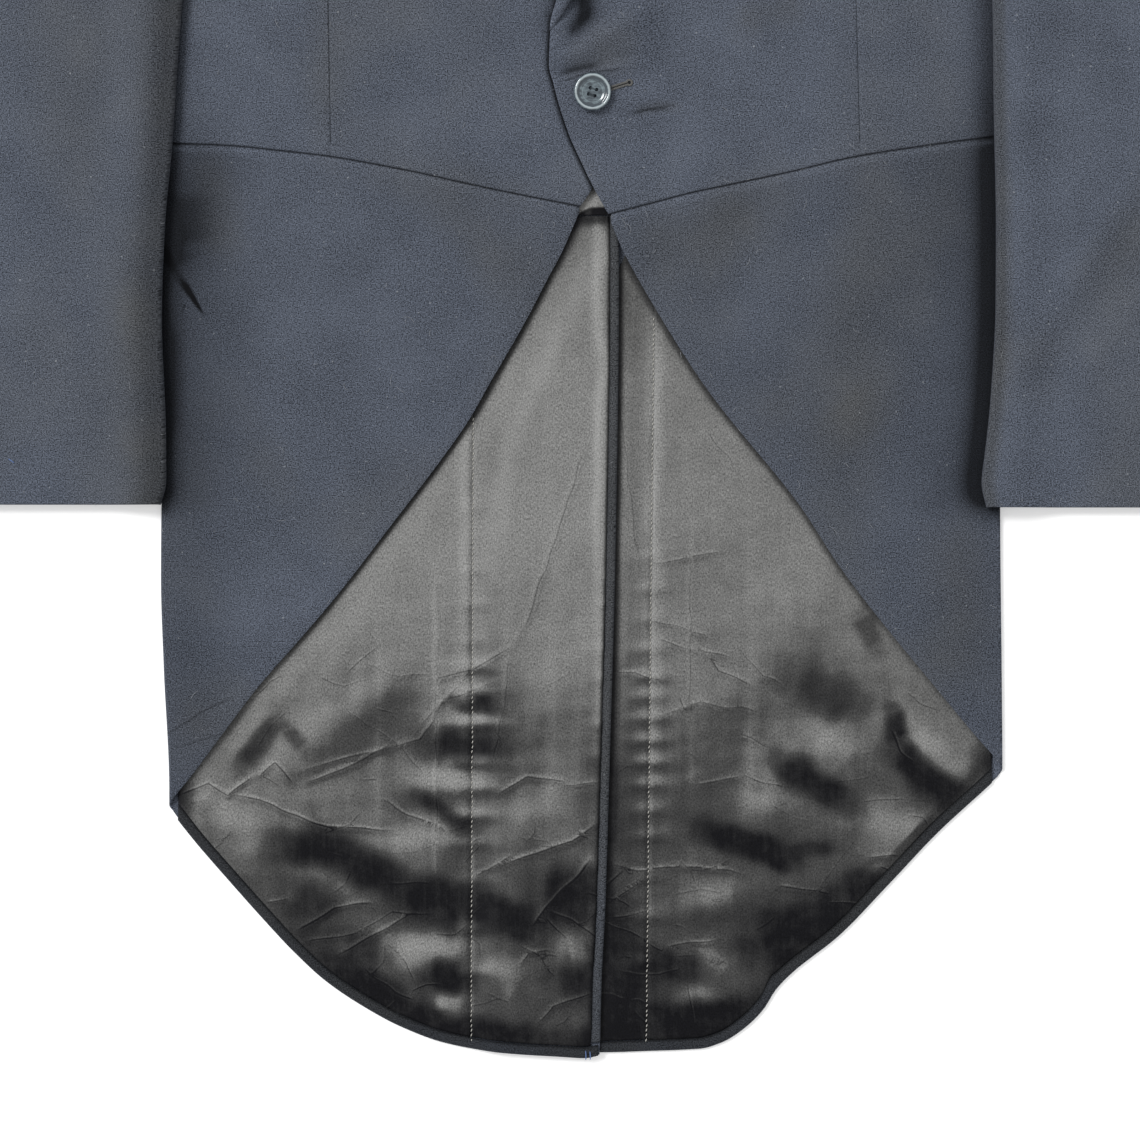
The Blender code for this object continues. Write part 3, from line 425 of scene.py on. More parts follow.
# Painted highlights: light streaks of the lining's sheen that run up, columns across, lowest, highest,
# strength and breadth
SATIN_STREAKS = (
    (-66.0, 150, 345, 0.2, 3.6), (-56.5, 110, 330, 0.06, 2.0), (37.5, 150, 400, 0.22, 4.2),
    (7.0, 190, 452, 0.3, 2.4), (-81.0, 100, 262, 0.12, 1.0), (-112.0, 90, 250, 0.08, 2.0),
    (58.0, 120, 300, 0.08, 1.6), (-18.0, 120, 420, 0.06, 4.0), (24.0, 60, 430, -0.1, 9.0),
    (-42.0, 200, 430, 0.06, 3.0), (90.0, 120, 280, 0.07, 3.0),
)
# Small creases scattered over the lower lining, painted only as dark lines of shade with a highlight beside
# them: how many, and the seed of their places
SMALL_CREASES = (90, 17)
# Gathered places beside the sewn seams, columns up, reach and rise
PUCKERS = {
    "right": ((298, 6, 0.3), (264, 8, 0.4), (246, 9, 0.5), (226, 8, 0.4), (212, 12, 0.8), (198, 13, 0.9),
              (181, 15, 1.2), (160, 16, 1.1), (146, 14, 0.9), (131, 12, 0.8), (116, 10, 0.6), (96, 12, 0.6),
              (70, 10, 0.6), (46, 10, 0.6), (24, 9, 0.5)),
    "left": ((272, 6, 0.4), (254, 8, 0.5), (238, 8, 0.5), (222, 9, 0.6), (207, 10, 0.8), (196, 9, 0.7),
             (184, 10, 0.8), (172, 10, 0.9), (160, 10, 0.9), (148, 10, 0.8), (134, 9, 0.6), (120, 10, 0.6),
             (98, 9, 0.6), (76, 10, 0.6), (52, 9, 0.5), (30, 9, 0.6)),
}
VENT_PUCKERS = (
    (262, 6, 0.4), (246, 8, 0.6), (222, 9, 0.7), (206, 9, 0.7), (181, 10, 0.8), (164, 9, 0.6), (146, 8, 0.5),
    (128, 9, 0.5), (104, 9, 0.6), (80, 10, 0.6), (54, 9, 0.5),
)


# Working out curves, grids and reliefs

def smooth(rows, at):
    """Read a two-column table at any places as a curve that never overshoots its rows."""
    x, y = np.array(rows, float).T
    at = np.clip(np.asarray(at, float), x[0], x[-1])
    step = np.diff(x)
    slope = np.diff(y) / step
    tangent = np.concatenate((slope[:1], np.zeros(len(slope) - 1), slope[-1:]))
    product = slope[:-1] * slope[1:]
    mean = 2 * product / np.where(product > 0, slope[:-1] + slope[1:], 1.0)
    tangent[1:-1] = np.where(product > 0, mean, 0.0)
    k = np.clip(np.searchsorted(x, at) - 1, 0, len(step) - 1)
    t = (at - x[k]) / step[k]
    rise = (1 + 2 * t) * (1 - t) ** 2 * y[k] + t * t * (3 - 2 * t) * y[k + 1]
    return rise + step[k] * (t * (1 - t) ** 2 * tangent[k] - t * t * (1 - t) * tangent[k + 1])


def ramp(start, end, at):
    """Zero at start, one at end, straight between them."""
    return np.clip((np.asarray(at, float) - start) / (end - start), 0.0, 1.0)


def ease(start, end, at):
    """Zero at start, one at end, 3t^2 - 2t^3 between them."""
    t = ramp(start, end, at)
    return t * t * (3 - 2 * t)


def hump(away, width):
    """A soft hump of height one: exp(-(away / width)^2)."""
    return np.exp(-(away / width) ** 2)


def lines_between(lists, step):
    """Several lists of grid lines with the same new lines in between, none further apart than step."""
    lists = np.asarray(lists, float)
    counts = np.maximum(np.ceil(np.abs(np.diff(lists, axis=1)).max(axis=0) / step - 1e-6), 1).astype(int)
    at = np.concatenate([k + np.arange(count) / count for k, count in enumerate(counts)] + [[len(counts)]])
    k = np.minimum(at.astype(int), len(counts) - 1)
    return lists[:, k] + (lists[:, k + 1] - lists[:, k]) * (at - k)


def shares(lines):
    """Grid lines as shares of the way from the first of them to the last."""
    return (lines - lines[0]) / (lines[-1] - lines[0])


def fine(lines, step):
    """Grid lines with new ones in between, none further apart than step."""
    return lines_between([lines], step)[0]


def along(corners, u):
    """Points at fractions u of the way along a line of straight runs."""
    corners = np.array(corners, float)
    reach = np.concatenate(([0.0], np.cumsum(np.linalg.norm(np.diff(corners, axis=0), axis=1))))
    reach /= reach[-1]
    return np.stack([np.interp(u, reach, corners[:, k]) for k in (0, 1)], axis=-1)


def column(out, up):
    """Pairs of out and up from two arrays or numbers."""
    return np.stack(np.broadcast_arrays(np.asarray(out, float), np.asarray(up, float)), axis=-1)


def patch(low, high, first, last, u, v):
    """Coons patch: (1-v) low + v high + (1-u) first + u last, less the blend of the four corners."""
    u = np.asarray(u, float)[None, :, None]
    v = np.asarray(v, float)[:, None, None]
    across = (1 - v) * low[None] + v * high[None]
    upward = (1 - u) * first[:, None] + u * last[:, None]
    corners = ((1 - u) * (1 - v) * low[0] + u * (1 - v) * low[-1]
               + (1 - u) * v * high[0] + u * v * high[-1])
    return across + upward - corners


def near_rows(rows, across, up, spread=None):
    """For each row of a table of lines that any place comes near: its width and amount, the mask of those
    places, their distance from the line, their share of the way along it, and if they lie right of it."""
    for width, amount, *places in rows:
        places = np.array(places, float)
        room = 3 * (spread or width)
        low, high = places.min(axis=0) - room, places.max(axis=0) + room
        near = (across > low[0]) & (across < high[0]) & (up > low[1]) & (up < high[1])
        if not near.any():
            continue
        at = np.stack((across[near], up[near]), axis=1)
        runs = np.diff(places, axis=0)
        lengths = np.linalg.norm(runs, axis=1)
        before = np.concatenate(([0.0], np.cumsum(lengths)[:-1]))
        start = at[:, None, :] - places[None, :-1]
        share = np.clip((start * runs).sum(axis=2) / lengths ** 2, 0, 1)
        away = np.linalg.norm(start - share[..., None] * runs, axis=2)
        pick = np.arange(len(at)), away.argmin(axis=1)
        reached = (before[pick[1]] + share[pick] * lengths[pick[1]]) / lengths.sum()
        turned = (runs[:, 0] * start[..., 1] - runs[:, 1] * start[..., 0])[pick]
        yield width, amount, near, away[pick], reached, turned < 0


def strokes(rows, across, up, power=2):
    """Sum of soft lines: amount times exp(-(distance / width)^power), fading towards both ends of a line."""
    across, up = np.broadcast_arrays(across, up)
    total = np.zeros(across.shape)
    for width, amount, near, away, reached, _ in near_rows(rows, across, up):
        fade = np.minimum(1.0, 0.35 + 3.5 * np.minimum(reached, 1 - reached))
        total[near] += amount * fade * np.exp(-(away / width) ** power)
    return total


def crumpled(across, up):
    """Places moved a little to and fro, so that a crease's straight runs waver."""
    return across + 1.1 * ripples(across, up, 19, 61), up + 1.1 * ripples(across, up, 23, 62)


def nearest_crease(rows, across, up, spread):
    """Signed distance to the nearest of some lines in thirds of its width, which may differ from its first to
    its last place, and how strong that line is there: its amount, fading towards its ends, times
    exp(-(distance / spread)^2)."""
    across, up = crumpled(across, up)
    nearest, strength = np.full(across.shape, NO_LINE), np.zeros(across.shape)
    distance = np.full(across.shape, 3.0 * spread)
    for width, amount, near, away, reached, right in near_rows(rows, across, up, spread):
        closer = away < distance[near]
        distance[near] = np.where(closer, away, distance[near])
        first_wide, last_wide = np.broadcast_to(width, 2)
        signed = np.where(right, -3.0, 3.0) * away / (first_wide + (last_wide - first_wide) * reached)
        nearest[near] = np.where(closer, signed, nearest[near])
        strong = amount * np.clip(7 * np.minimum(reached, 1 - reached), 0, 1) * hump(away, spread)
        strength[near] = np.where(closer, strong, strength[near])
    return nearest, strength


def mounds(rows, across, up):
    """Sum of soft mounds: rise times exp(-(along / length)^2 - (aside / breadth)^2) about each middle."""
    across, up = np.broadcast_arrays(across, up)
    total = np.zeros(across.shape)
    for middle, height, length, breadth, turn, rise in rows:
        cosine, sine = math.cos(math.radians(turn)), math.sin(math.radians(turn))
        ahead = (across - middle) * cosine + (up - height) * sine
        aside = (up - height) * cosine - (across - middle) * sine
        total += rise * np.exp(-(ahead / length) ** 2 - (aside / breadth) ** 2)
    return total


def ripples(across, up, length, seed):
    """Uneven low ripples: the mean of five sine waves of unlike lengths, turns and starts."""
    chance = np.random.default_rng(seed)
    total = np.zeros(np.broadcast(across, up).shape)
    for turn, start, stretch in zip(chance.uniform(0, math.pi, 5), chance.uniform(0, 6.28, 5),
                                    chance.uniform(0.6, 1.6, 5)):
        along_wave = across * math.cos(turn) + up * math.sin(turn)
        total += np.sin(along_wave * 2 * math.pi / (length * stretch) + start)
    return total / 5


# The coat's own lines

def armhole(up):
    """Armhole edge, the same curve for every panel that meets it."""
    return np.interp(up, ARMHOLE_UPS, smooth(ARMHOLE, ARMHOLE_UPS))


def body_edge(side, up):
    """Outermost reach of the body at a height, armhole included."""
    return np.where(np.asarray(up) < ARMHOLE_UPS[0], smooth(SIDE_EDGE[side], up), armhole(up))


def side_waist(side):
    """Height of the waist seam at the side fold."""
    return float(smooth(WAIST[side], SIDE_WAIST_OUT))


def back_waist(side, out):
    """Waist seam on the back, straight from the pleat to the side fold."""
    pleat = PLEAT[side][-1][1]
    return BACK_WAIST_UP + (side_waist(side) - BACK_WAIST_UP) * (out - pleat) / (SIDE_WAIST_OUT - pleat)


def reach(radius, turn, amount):
    """Distance that a turned edge takes up in plan, from its full turn to none."""
    amount = np.maximum(amount, 0.02)
    return radius * np.sin(amount * turn) / amount


def turn_edge(points, direction, radius, turn, amount, dip):
    """Lines of points past an edge, outermost first: an arc that bends towards the layer that it meets."""
    amount = np.maximum(amount, 0.02)
    lines = []
    for angle in np.array(TURN_SHARES) * turn:
        line = points + (radius * np.sin(angle * amount) / amount)[:, None] * np.array((*direction, 0.0))
        line[:, 2] -= dip * radius * (1 - np.cos(angle * amount)) / amount
        lines.append(line)
    return np.array(lines)


def pleat_out(side, up):
    """Pleat between tail and skirt, a straight line."""
    return np.interp(up, *np.array(PLEAT[side]).T)


def hem_inset(side, out, inset):
    """Height of a line that keeps its distance from the hem."""
    slope = (smooth(HEM[side], out + 1.0) - smooth(HEM[side], out - 1.0)) / 2.0
    return smooth(HEM[side], out) + inset * np.sqrt(1 + slope ** 2)


def cutaway_out(side, up):
    """How far out the cutaway edge lies at a height."""
    return smooth([(height, out) for out, height in reversed(CUTAWAY[side])], up)


def front_lie(side, out, up):
    """Rise of the fronts above the flat, shared by all their layers, gone at the side fold and shoulder."""
    across = SIGN[side] * out
    free = ease(4, 46, body_edge(side, up) - np.abs(out)) * ease(915, 850, up)
    rise = mounds(FRONT_MOUNDS, across, up) + strokes(FRONT_CREASES, across, up)
    return free * (rise + 0.22 * ripples(across, up, 46, 5))


def left_lift(across, up):
    """Rise of the left front where it laps over the right front and lapel, a little full by the button."""
    held = ease(LAP_RAMP, 0.0, across - smooth(LAP_HOLD, up))
    full = mounds(((6, 545, 44, 34, 20, 1.4),), across, up)
    creases = strokes(BUTTON_CREASES, across, up)
    return held * (OVERLAP + LAPEL_RISE * ramp(*LAPEL_UNDER, up)) + full + creases


def front_height(side, out, up):
    """Middle of the front's wall."""
    rise = front_lie(side, out, up)
    if side == "left":
        rise = rise + left_lift(out, up)
    return FRONT_Z + rise


def tail_lift(out, up):
    """Rise of the right tail where it laps over the left one at the vent."""
    under = smooth(CENTRE["left"], up)
    return TAIL_LIFT * ramp(VENT_TOP, VENT_LAP, up) * ease(under - TAIL_RAMP[0], under - TAIL_RAMP[1], -out)


def back_height(side, out, up):
    """Middle of the back's wall, with shallow troughs where the cloth doesn't quite lie down."""
    rise = 0.3 * ease(0.3, 1.1, np.abs(ripples(SIGN[side] * out, up, 90, 8)) * 2)
    return BACK_Z + rise + (tail_lift(out, up) if side == "right" else 0.0)


def puckers(rows, beside, up, breadth):
    """Sum of gathered places: rise times exp(-(up / breadth)^2 - (distance beside the seam / reach)^2)."""
    return sum(rise * hump(up - height, breadth) * hump(beside, span)
               for height, span, rise in rows)


def lining_relief(side, out, up):
    """Creases, swells and puckers of the lining, gone under the fronts, at the hem and below the lap."""
    across = SIGN[side] * out
    hem = smooth(HEM[side], out)
    shown = ease(3, 20, cutaway_out(side, up) - out) * ease(6, 16, up - hem)
    shown = shown * ease(3, 18, SIDE_WAIST_OUT - out) * ease(457, 450, up)
    vent = -smooth(CENTRE["right"], up)
    if side == "left":
        shown = shown * ease(1.5, 9, across - vent)
    seam = -pleat_out("right", up) if side == "right" else pleat_out("left", up)
    beside = np.abs(across - seam)
    gathered = puckers(PUCKERS[side], beside, up, 3.4)
    if side == "right":
        gathered = gathered + puckers(VENT_PUCKERS, vent - across, up, 3.6)
    gathered = gathered - 0.35 * hump(beside, 1.3)
    low = ease(330, 150, up)
    uneven = 0.45 * ripples(across, up, 40, 3) + 0.16 * ripples(across, up, 13, 4)
    swell = mounds(SATIN_MOUNDS, across, up) + low * uneven
    sharp = 0.38 * strokes(SATIN_CREASES, *crumpled(across, up))
    return shown * (0.3 + 0.25 * low + swell + sharp + gathered)


def inner_height(side, out, up):
    """Middle of what lies on the back's inner face, with a little ease where the tail rises."""
    return LINING_Z + (TAIL_LINING_EASE * tail_lift(out, up) if side == "right" else 0.0)


def waist_groove(side, out, up):
    """Dip of both edges that meet in the waist seam: -0.4 exp(-(distance / 1.1)^2)."""
    return -0.4 * hump(up - smooth(WAIST[side], out), 1.1) * ease(2, 20, SIDE_WAIST_OUT - out)


def over_lines(lines, near, aside, strength):
    """One more dark line laid over others, each a signed distance in half widths and a strength."""
    return np.where(near, aside, lines[0]), np.where(near, strength, lines[1])


def waist_line(lines, above):
    """The waist seam's dark line laid over others, from the distance to the seam."""
    above = above / SEAM_LINE
    return over_lines(lines, np.abs(above) < 5, above, ease(4.6, 2.6, np.abs(above)))


def sleeve_shade(side, out, up):
    """Darkness of the body beside the sleeve that lies on it."""
    away = np.maximum(smooth(SLEEVE_INNER[side], up) - out, 0)
    near, far, dark = (4.5, 34.0, 0.4) if side == "right" else (11.0, 36.0, 0.7)
    wide = 0.3 * hump(away, far) * ease(560, 470, up)
    return (dark * hump(away, near) + wide) * ease(286, 306, up)


def with_height(grid, height):
    """Points of out, up and height from a grid of out and up."""
    return np.concatenate((grid, np.broadcast_to(height, grid.shape[:2])[..., None]), axis=2)


# Making meshes

def place(points, side="left"):
    """World places in metres of points given as out, up and height."""
    return np.stack((SIGN[side] * points[..., 0] * MM, (points[..., 1] - LENGTH / 2) * MM,
                     points[..., 2] * MM), axis=-1)


def finish_piece(piece, slot):
    """Put a piece in the scene and let it ride on the coat. Its slot is not used."""
    bpy.context.scene.collection.objects.link(piece)
    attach(piece, "root")
    return piece


def grid_faces(rows, columns):
    """Corners of the quads of a grid whose points are counted row by row."""
    corner = (np.arange(rows - 1)[:, None] * columns + np.arange(columns - 1)).ravel()
    return np.stack((corner, corner + 1, corner + columns + 1, corner + columns), axis=1)


def ring_faces(rings, sides):
    """Corners of the quads between closed rings of so many points, one ring after the other."""
    first = np.arange(sides)
    second = (first + 1) % sides
    band = np.arange(rings - 1)[:, None] * sides
    quads = np.stack((band + first, band + second, band + sides + second, band + sides + first), axis=-1)
    return quads.reshape(-1, 4)


def mesh_of(name, places, faces, stuff):
    """A smooth-shaded mesh object of places in metres and a list of faces, in one material."""
    mesh = bpy.data.meshes.new(name)
    mesh.from_pydata(places.reshape(-1, 3), [], faces)
    mesh.materials.append(stuff)
    mesh.polygons.foreach_set("use_smooth", np.ones(len(mesh.polygons), bool))
    return bpy.data.objects.new(name, mesh)


def cloth(node, side, points, bolt, marks=(), rests_on=("floor",)):
    """One panel as a thin wall on a grid of out, up and height, cut from a bolt: a material, its slot and its
    thickness. Its UV map is its plan in metres, moved on by its height so that steep places aren't stretched,
    and each mark is a number on every point that the material reads."""
    stuff, slot, wall = bolt
    rows, columns = points.shape[:2]
    places = place(points, side)
    faces = grid_faces(rows, columns)
    if side == "right":
        faces = faces[:, ::-1]
    panel = mesh_of(f"{node}_cloth", places, faces.tolist(), stuff)
    flat = places[..., :2] + places[..., 2:] * (1.0, 0.5)
    layer = panel.data.uv_layers.new(name="cloth")
    layer.data.foreach_set("uv", flat.reshape(-1, 2)[faces.ravel()].ravel())
    if slot == "wool" and len(marks) == 2:
        marks = (*marks, ("aside", NO_LINE), ("crease", 0.0))
    for name, amount in marks:
        mark = panel.data.attributes.new(name, "FLOAT", "POINT")
        mark.data.foreach_set("value", np.broadcast_to(amount, (rows, columns)).ravel().astype(np.float32))
    solid = panel.modifiers.new("wall", "SOLIDIFY")
    solid.thickness = wall
    solid.offset = 0.0
    solid.use_quality_normals = True
    finish_piece(panel, slot)
    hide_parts(node)
    list(rests_on)
    return panel


def tubes(name, lines, radius, sides, stuff, slot):
    """Many threads in one mesh: a ring of a few sides carried along each line, drawn to a point at its ends.
    lines is threads by places by three, in metres, and every thread has the same number of places."""
    threads, length = lines.shape[:2]
    forward = np.gradient(lines, axis=1)
    forward /= np.maximum(np.linalg.norm(forward, axis=2, keepdims=True), 1e-12)
    aside = np.cross(forward, (0.0, 0.0, 1.0))
    aside /= np.maximum(np.linalg.norm(aside, axis=2, keepdims=True), 1e-9)
    upward = np.cross(aside, forward)
    turn = np.arange(sides) * 2 * math.pi / sides
    taper = np.sqrt(np.clip(1 - np.linspace(-1, 1, length) ** 8, 0.03, 1))
    ring = (np.cos(turn)[:, None] * aside[:, :, None] + np.sin(turn)[:, None] * upward[:, :, None])
    places = lines[:, :, None] + radius * taper[None, :, None, None] * ring
    first = np.arange(sides)
    start = np.arange(threads)[:, None, None] * length * sides
    faces = (ring_faces(length, sides)[None] + start).reshape(-1, 4)
    ends = np.stack((first[::-1], first + (length - 1) * sides))
    caps = (ends[None] + start).reshape(-1, sides)
    return finish_piece(mesh_of(name, places, faces.tolist() + caps.tolist(), stuff), slot)


# Materials

class Value:
    """A shader number that is added, multiplied and so on like any other number."""

    def __init__(self, stuff, socket):
        self.stuff = stuff
        self.socket = socket

    def maths(self, operation, first, second=0.0, clamp=False):
        """A Math node on two numbers or links."""
        settings = {"operation": operation, "use_clamp": clamp}
        return self.stuff.node("ShaderNodeMath", settings, {0: first, 1: second})

    def __add__(self, other):
        return self.maths("ADD", self, other)

    def __sub__(self, other):
        return self.maths("SUBTRACT", self, other)

    def __mul__(self, other):
        return self.maths("MULTIPLY", self, other)

    def __rsub__(self, other):
        return self.maths("SUBTRACT", other, self)

    __radd__ = __add__
    __rmul__ = __mul__

    def clipped(self):
        """The number kept between zero and one."""
        return self.maths("ADD", self, 0.0, clamp=True)

    def sine(self):
        """The sine of the number."""
        return self.maths("SINE", self)


class Stuff:
    """A material under construction, with what is the same all over it set on the shader itself."""

    def __init__(self, name, constants):
        self.material = bpy.data.materials.new(name)
        self.material.use_nodes = True
        self.tree = self.material.node_tree
        self.shader = self.tree.nodes["Principled BSDF"]
        for key, value in constants.items():
            self.shader.inputs[key].default_value = value

    def put(self, inputs, node):
        """Give a node's sockets their values or links."""
        for key, value in inputs.items():
            if isinstance(value, Value):
                self.tree.links.new(value.socket, node.inputs[key])
            else:
                node.inputs[key].default_value = value

    def node(self, kind, settings=None, inputs=None, output=0):
        """Add a node: its settings first, then its sockets' values or links."""
        made = self.tree.nodes.new(kind)
        for key, value in (settings or {}).items():
            setattr(made, key, value)
        self.put(inputs or {}, made)
        return Value(self, made.outputs[output])

    def mark(self, name):
        """A number that the mesh carries on its points."""
        return self.node("ShaderNodeAttribute", {"attribute_name": name}, {}, "Fac")

    def noise(self, where, scale, detail=2.0, roughness=0.5):
        """Cloudy noise with scale cells in a metre."""
        inputs = {"Vector": where, "Scale": scale, "Detail": detail, "Roughness": roughness}
        return self.node("ShaderNodeTexNoise", {}, inputs)

    def mix(self, amount, first, second):
        """Mix of two colours."""
        return self.node("ShaderNodeMix", {"data_type": "RGBA"}, {0: amount, 6: first, 7: second}, 2)

    def scaled(self, colour, amount):
        """A colour times a number."""
        return self.node("ShaderNodeVectorMath", {"operation": "SCALE"}, {0: colour, "Scale": amount})

    def stretched(self, where, size):
        """Coordinates multiplied by a size in each direction."""
        return self.node("ShaderNodeMapping", {}, {"Vector": where, "Scale": size})

    def finish(self, colour, roughness, height, distance, strength):
        """Feed what varies over the surface: colour, roughness and the bump behind the normal."""
        inputs = {"Strength": strength, "Distance": distance, "Height": height}
        normal = self.node("ShaderNodeBump", {}, inputs)
        self.put({"Base Color": colour, "Roughness": roughness, "Normal": normal}, self.shader)
        return self.material


def opaque(colour):
    """A property's colour with full alpha."""
    return (*colour, 1.0)


def wool_stuff(looks):
    """Fine worsted: twill and short nap, slate blue with browner zones that are mostly painted shade, darker
    places and lines of painted shade, dust and a soft sheen.
    """
    made = Stuff("slate_worsted", {
        "Specular IOR Level": 0.1, "Sheen Weight": 0.1, "Sheen Roughness": 0.5,
        "Sheen Tint": (0.55, 0.62, 0.8, 1.0)})
    where = made.node("ShaderNodeUVMap", {"uv_map": "cloth"})
    parts = made.node("ShaderNodeSeparateXYZ", {}, {0: where}, 0)
    along_v = Value(made, parts.socket.node.outputs[1])
    twill = ((parts + along_v) * (2 * math.pi / TWILL_SPACING)).sine()
    yarn = ((parts - along_v) * (2 * math.pi / YARN_SPACING)).sine()
    nap = made.noise(where, 1500.0, 2.0, 0.6)
    felt = made.noise(where, 420.0, 3.0, 0.6)
    cloud = made.noise(where, 26.0, 3.0, 0.55)
    drift = made.noise(made.stretched(where, (1.0, 0.35, 1.0)), 9.0, 2.0, 0.5)
    dust = ((made.noise(where, 520.0, 1.0, 0.4) - 0.735) * 14.0).clipped()
    # Browner zones: the brown mark, mostly painted shade on slopes and troughs, with random cloudy tone
    brown = (made.mark("brown") * 0.8 + (drift - 0.5) * 2.4 + (cloud - 0.5) * 0.9).clipped()
    # The black mark: painted shade in hollows, beside the sleeves and under edges
    black = made.mark("black").clipped()
    base = made.mix(brown, opaque(looks.wool_colour), opaque(looks.wool_brown))
    aside = made.mark("aside")
    # Dark line: painted shade along creases and under the left front's edge, and the line of the waist seam
    # and dart
    line = (1.0 - aside.maths("ABSOLUTE", aside)).clipped() * made.mark("crease")
    grain = (nap - 0.5) * 5.2 + (felt - 0.5) * 0.7 + (cloud - 0.5) * 0.7 + twill * 0.04
    shade = (grain + 1.0) * (1.0 - black * 0.9) * (1.0 - line * 0.98)
    deep = made.scaled(base, shade.maths("MAXIMUM", shade, 0.03))
    colour = made.mix(dust * (1.0 - black) * 0.4, deep, (0.42, 0.44, 0.46, 1.0))
    height = nap * 0.6 + felt * 0.12 + twill * 0.12 + yarn * 0.05
    return made.finish(colour, 0.82 + (felt - 0.5) * 0.2, height, 0.0002, 0.5)


def satin_stuff(looks):
    """Lining satin: a grey float with fine upright threads, with a painted reflection of its sheen that goes
    nearly black where it turns away and lighter where it shines, and thin creases painted as dark lines of
    shade, each with a painted highlight on one side."""
    made = Stuff("grey_satin", {"Specular IOR Level": 0.1})
    where = made.node("ShaderNodeUVMap", {"uv_map": "cloth"})
    threads = made.noise(made.stretched(where, (1500.0, 700.0, 1.0)), 1.0, 2.0, 0.6)
    slubs = made.noise(made.stretched(where, (420.0, 26.0, 1.0)), 1.0, 3.0, 0.6)
    speckle = made.noise(where, 1150.0, 2.0, 0.6)
    cloud = made.noise(where, 60.0, 4.0, 0.6)
    aside = made.mark("aside")
    crease = made.mark("crease")
    line = (1.0 - aside.maths("ABSOLUTE", aside)).clipped() * crease
    lit = (1.0 - aside.maths("ABSOLUTE", aside - 1.7) * 0.8).clipped() * crease
    crumple = made.noise(where, 170.0, 2.0, 0.5)
    tone = made.mark("tone") + (cloud - 0.5) * 0.26 + (slubs - 0.5) * 0.16 + (crumple - 0.5) * 0.16
    # Painted shade along each crease and a painted highlight beside it
    tone = tone + line * 0.6 - lit * 0.3
    # Painted highlight where the tone is lighter than the lightest colour
    painted_sheen = (0.0 - tone).clipped() * 0.8
    tone = tone.clipped()
    # Lit, middle and shaded colours of the satin, mixed by the painted tone
    light = made.mix((tone * 2.0).clipped(), opaque(looks.satin_colour), opaque(looks.satin_middle))
    base = made.mix((tone * 2.0 - 1.0).clipped(), light, opaque(looks.satin_dark))
    grain = (threads - 0.5) * 1.9 + (speckle - 0.5) * 1.8 + painted_sheen + 1.0
    colour = made.scaled(base, grain)
    height = threads * 0.5 + speckle * 0.3 + slubs * 0.4
    return made.finish(colour, 0.42 + (speckle - 0.5) * 0.16, height, 0.0002, 0.3)


def horn_stuff(looks):
    """Polished button: clouded blue-grey dish, a dark ring inside a pale rim with a painted highlight, under
    a clear gloss.
    """
    made = Stuff("navy_horn", {"Specular IOR Level": 0.7, "Coat Roughness": 0.05, "Coat Weight": 0.8})
    where = made.node("ShaderNodeTexCoord", {}, {}, "Object")
    centre = (BUTTON_ACROSS * MM, (BUTTON_UP - LENGTH / 2) * MM, 0.0)
    level = made.node("ShaderNodeVectorMath", {"operation": "MULTIPLY"}, {0: where, 1: (1.0, 1.0, 0.0)})
    away = made.node("ShaderNodeVectorMath", {"operation": "DISTANCE"}, {0: level, 1: centre}, 1) * 1000.0
    swirl = made.noise(made.stretched(where, (1.0, 2.2, 1.0)), 330.0, 3.0, 0.55)
    fleck = made.noise(where, 1400.0, 2.0, 0.5)
    # Painted highlight round the rim's crown, a darker ring on its inner slope and a lighter ring round the
    # dish
    rim = (1.0 - away.maths("ABSOLUTE", away - 9.0) * 1.2).clipped()
    ring = (1.0 - away.maths("ABSOLUTE", away - 7.5) * 1.3).clipped()
    inner = (1.0 - away.maths("ABSOLUTE", away - 5.6) * 2.4).clipped()
    streak = ((swirl - 0.38) * 2.8 + rim * 0.9 + inner * 0.5 - ring * 1.1).clipped()
    colour = made.mix(streak, opaque(looks.button_colour), opaque(looks.button_streak))
    colour = made.mix(rim * 0.6, colour, (0.55, 0.61, 0.63, 1.0))
    return made.finish(colour, 0.13 + fleck * 0.1, swirl * 0.4 + fleck * 0.2, 0.0001, 0.12)


def thread_stuff(name, colour, shade):
    """Twisted thread: fine turns round it and a soft mottle."""
    made = Stuff(name, {"Specular IOR Level": 0.3, "Sheen Weight": 0.1})
    where = made.node("ShaderNodeTexCoord", {}, {}, "Object")
    mottle = made.noise(where, 1500.0, 2.0, 0.6)
    parts = made.node("ShaderNodeSeparateXYZ", {}, {0: where}, 0)
    other = Value(made, parts.socket.node.outputs[1])
    twist = ((parts * 1.7 + other) * (2 * math.pi / TWIST_SPACING)).sine()
    tone = (mottle * 0.8 + twist * 0.12 + 0.05).clipped()
    return made.finish(made.mix(tone, shade, colour), 0.62 + mottle * 0.2, mottle + twist * 0.3, 0.0001, 0.4)


def floor_stuff(colour):
    """Plain pale floor with the faintest mottle."""
    made = Stuff("pale_floor", {"Specular IOR Level": 0.05, "Emission Strength": 0.3,
                                "Emission Color": (1.0, 1.0, 1.0, 1.0)})
    where = made.node("ShaderNodeTexCoord", {}, {}, "Object")
    mottle = made.noise(where, 6.0, 2.0, 0.5)
    paler = tuple(min(1.0, part * 1.01) for part in colour)
    mixed = made.mix(mottle, opaque(colour), opaque(paler))
    return made.finish(mixed, 0.85 + mottle * 0.05, mottle, 0.0001, 0.02)


# The panels

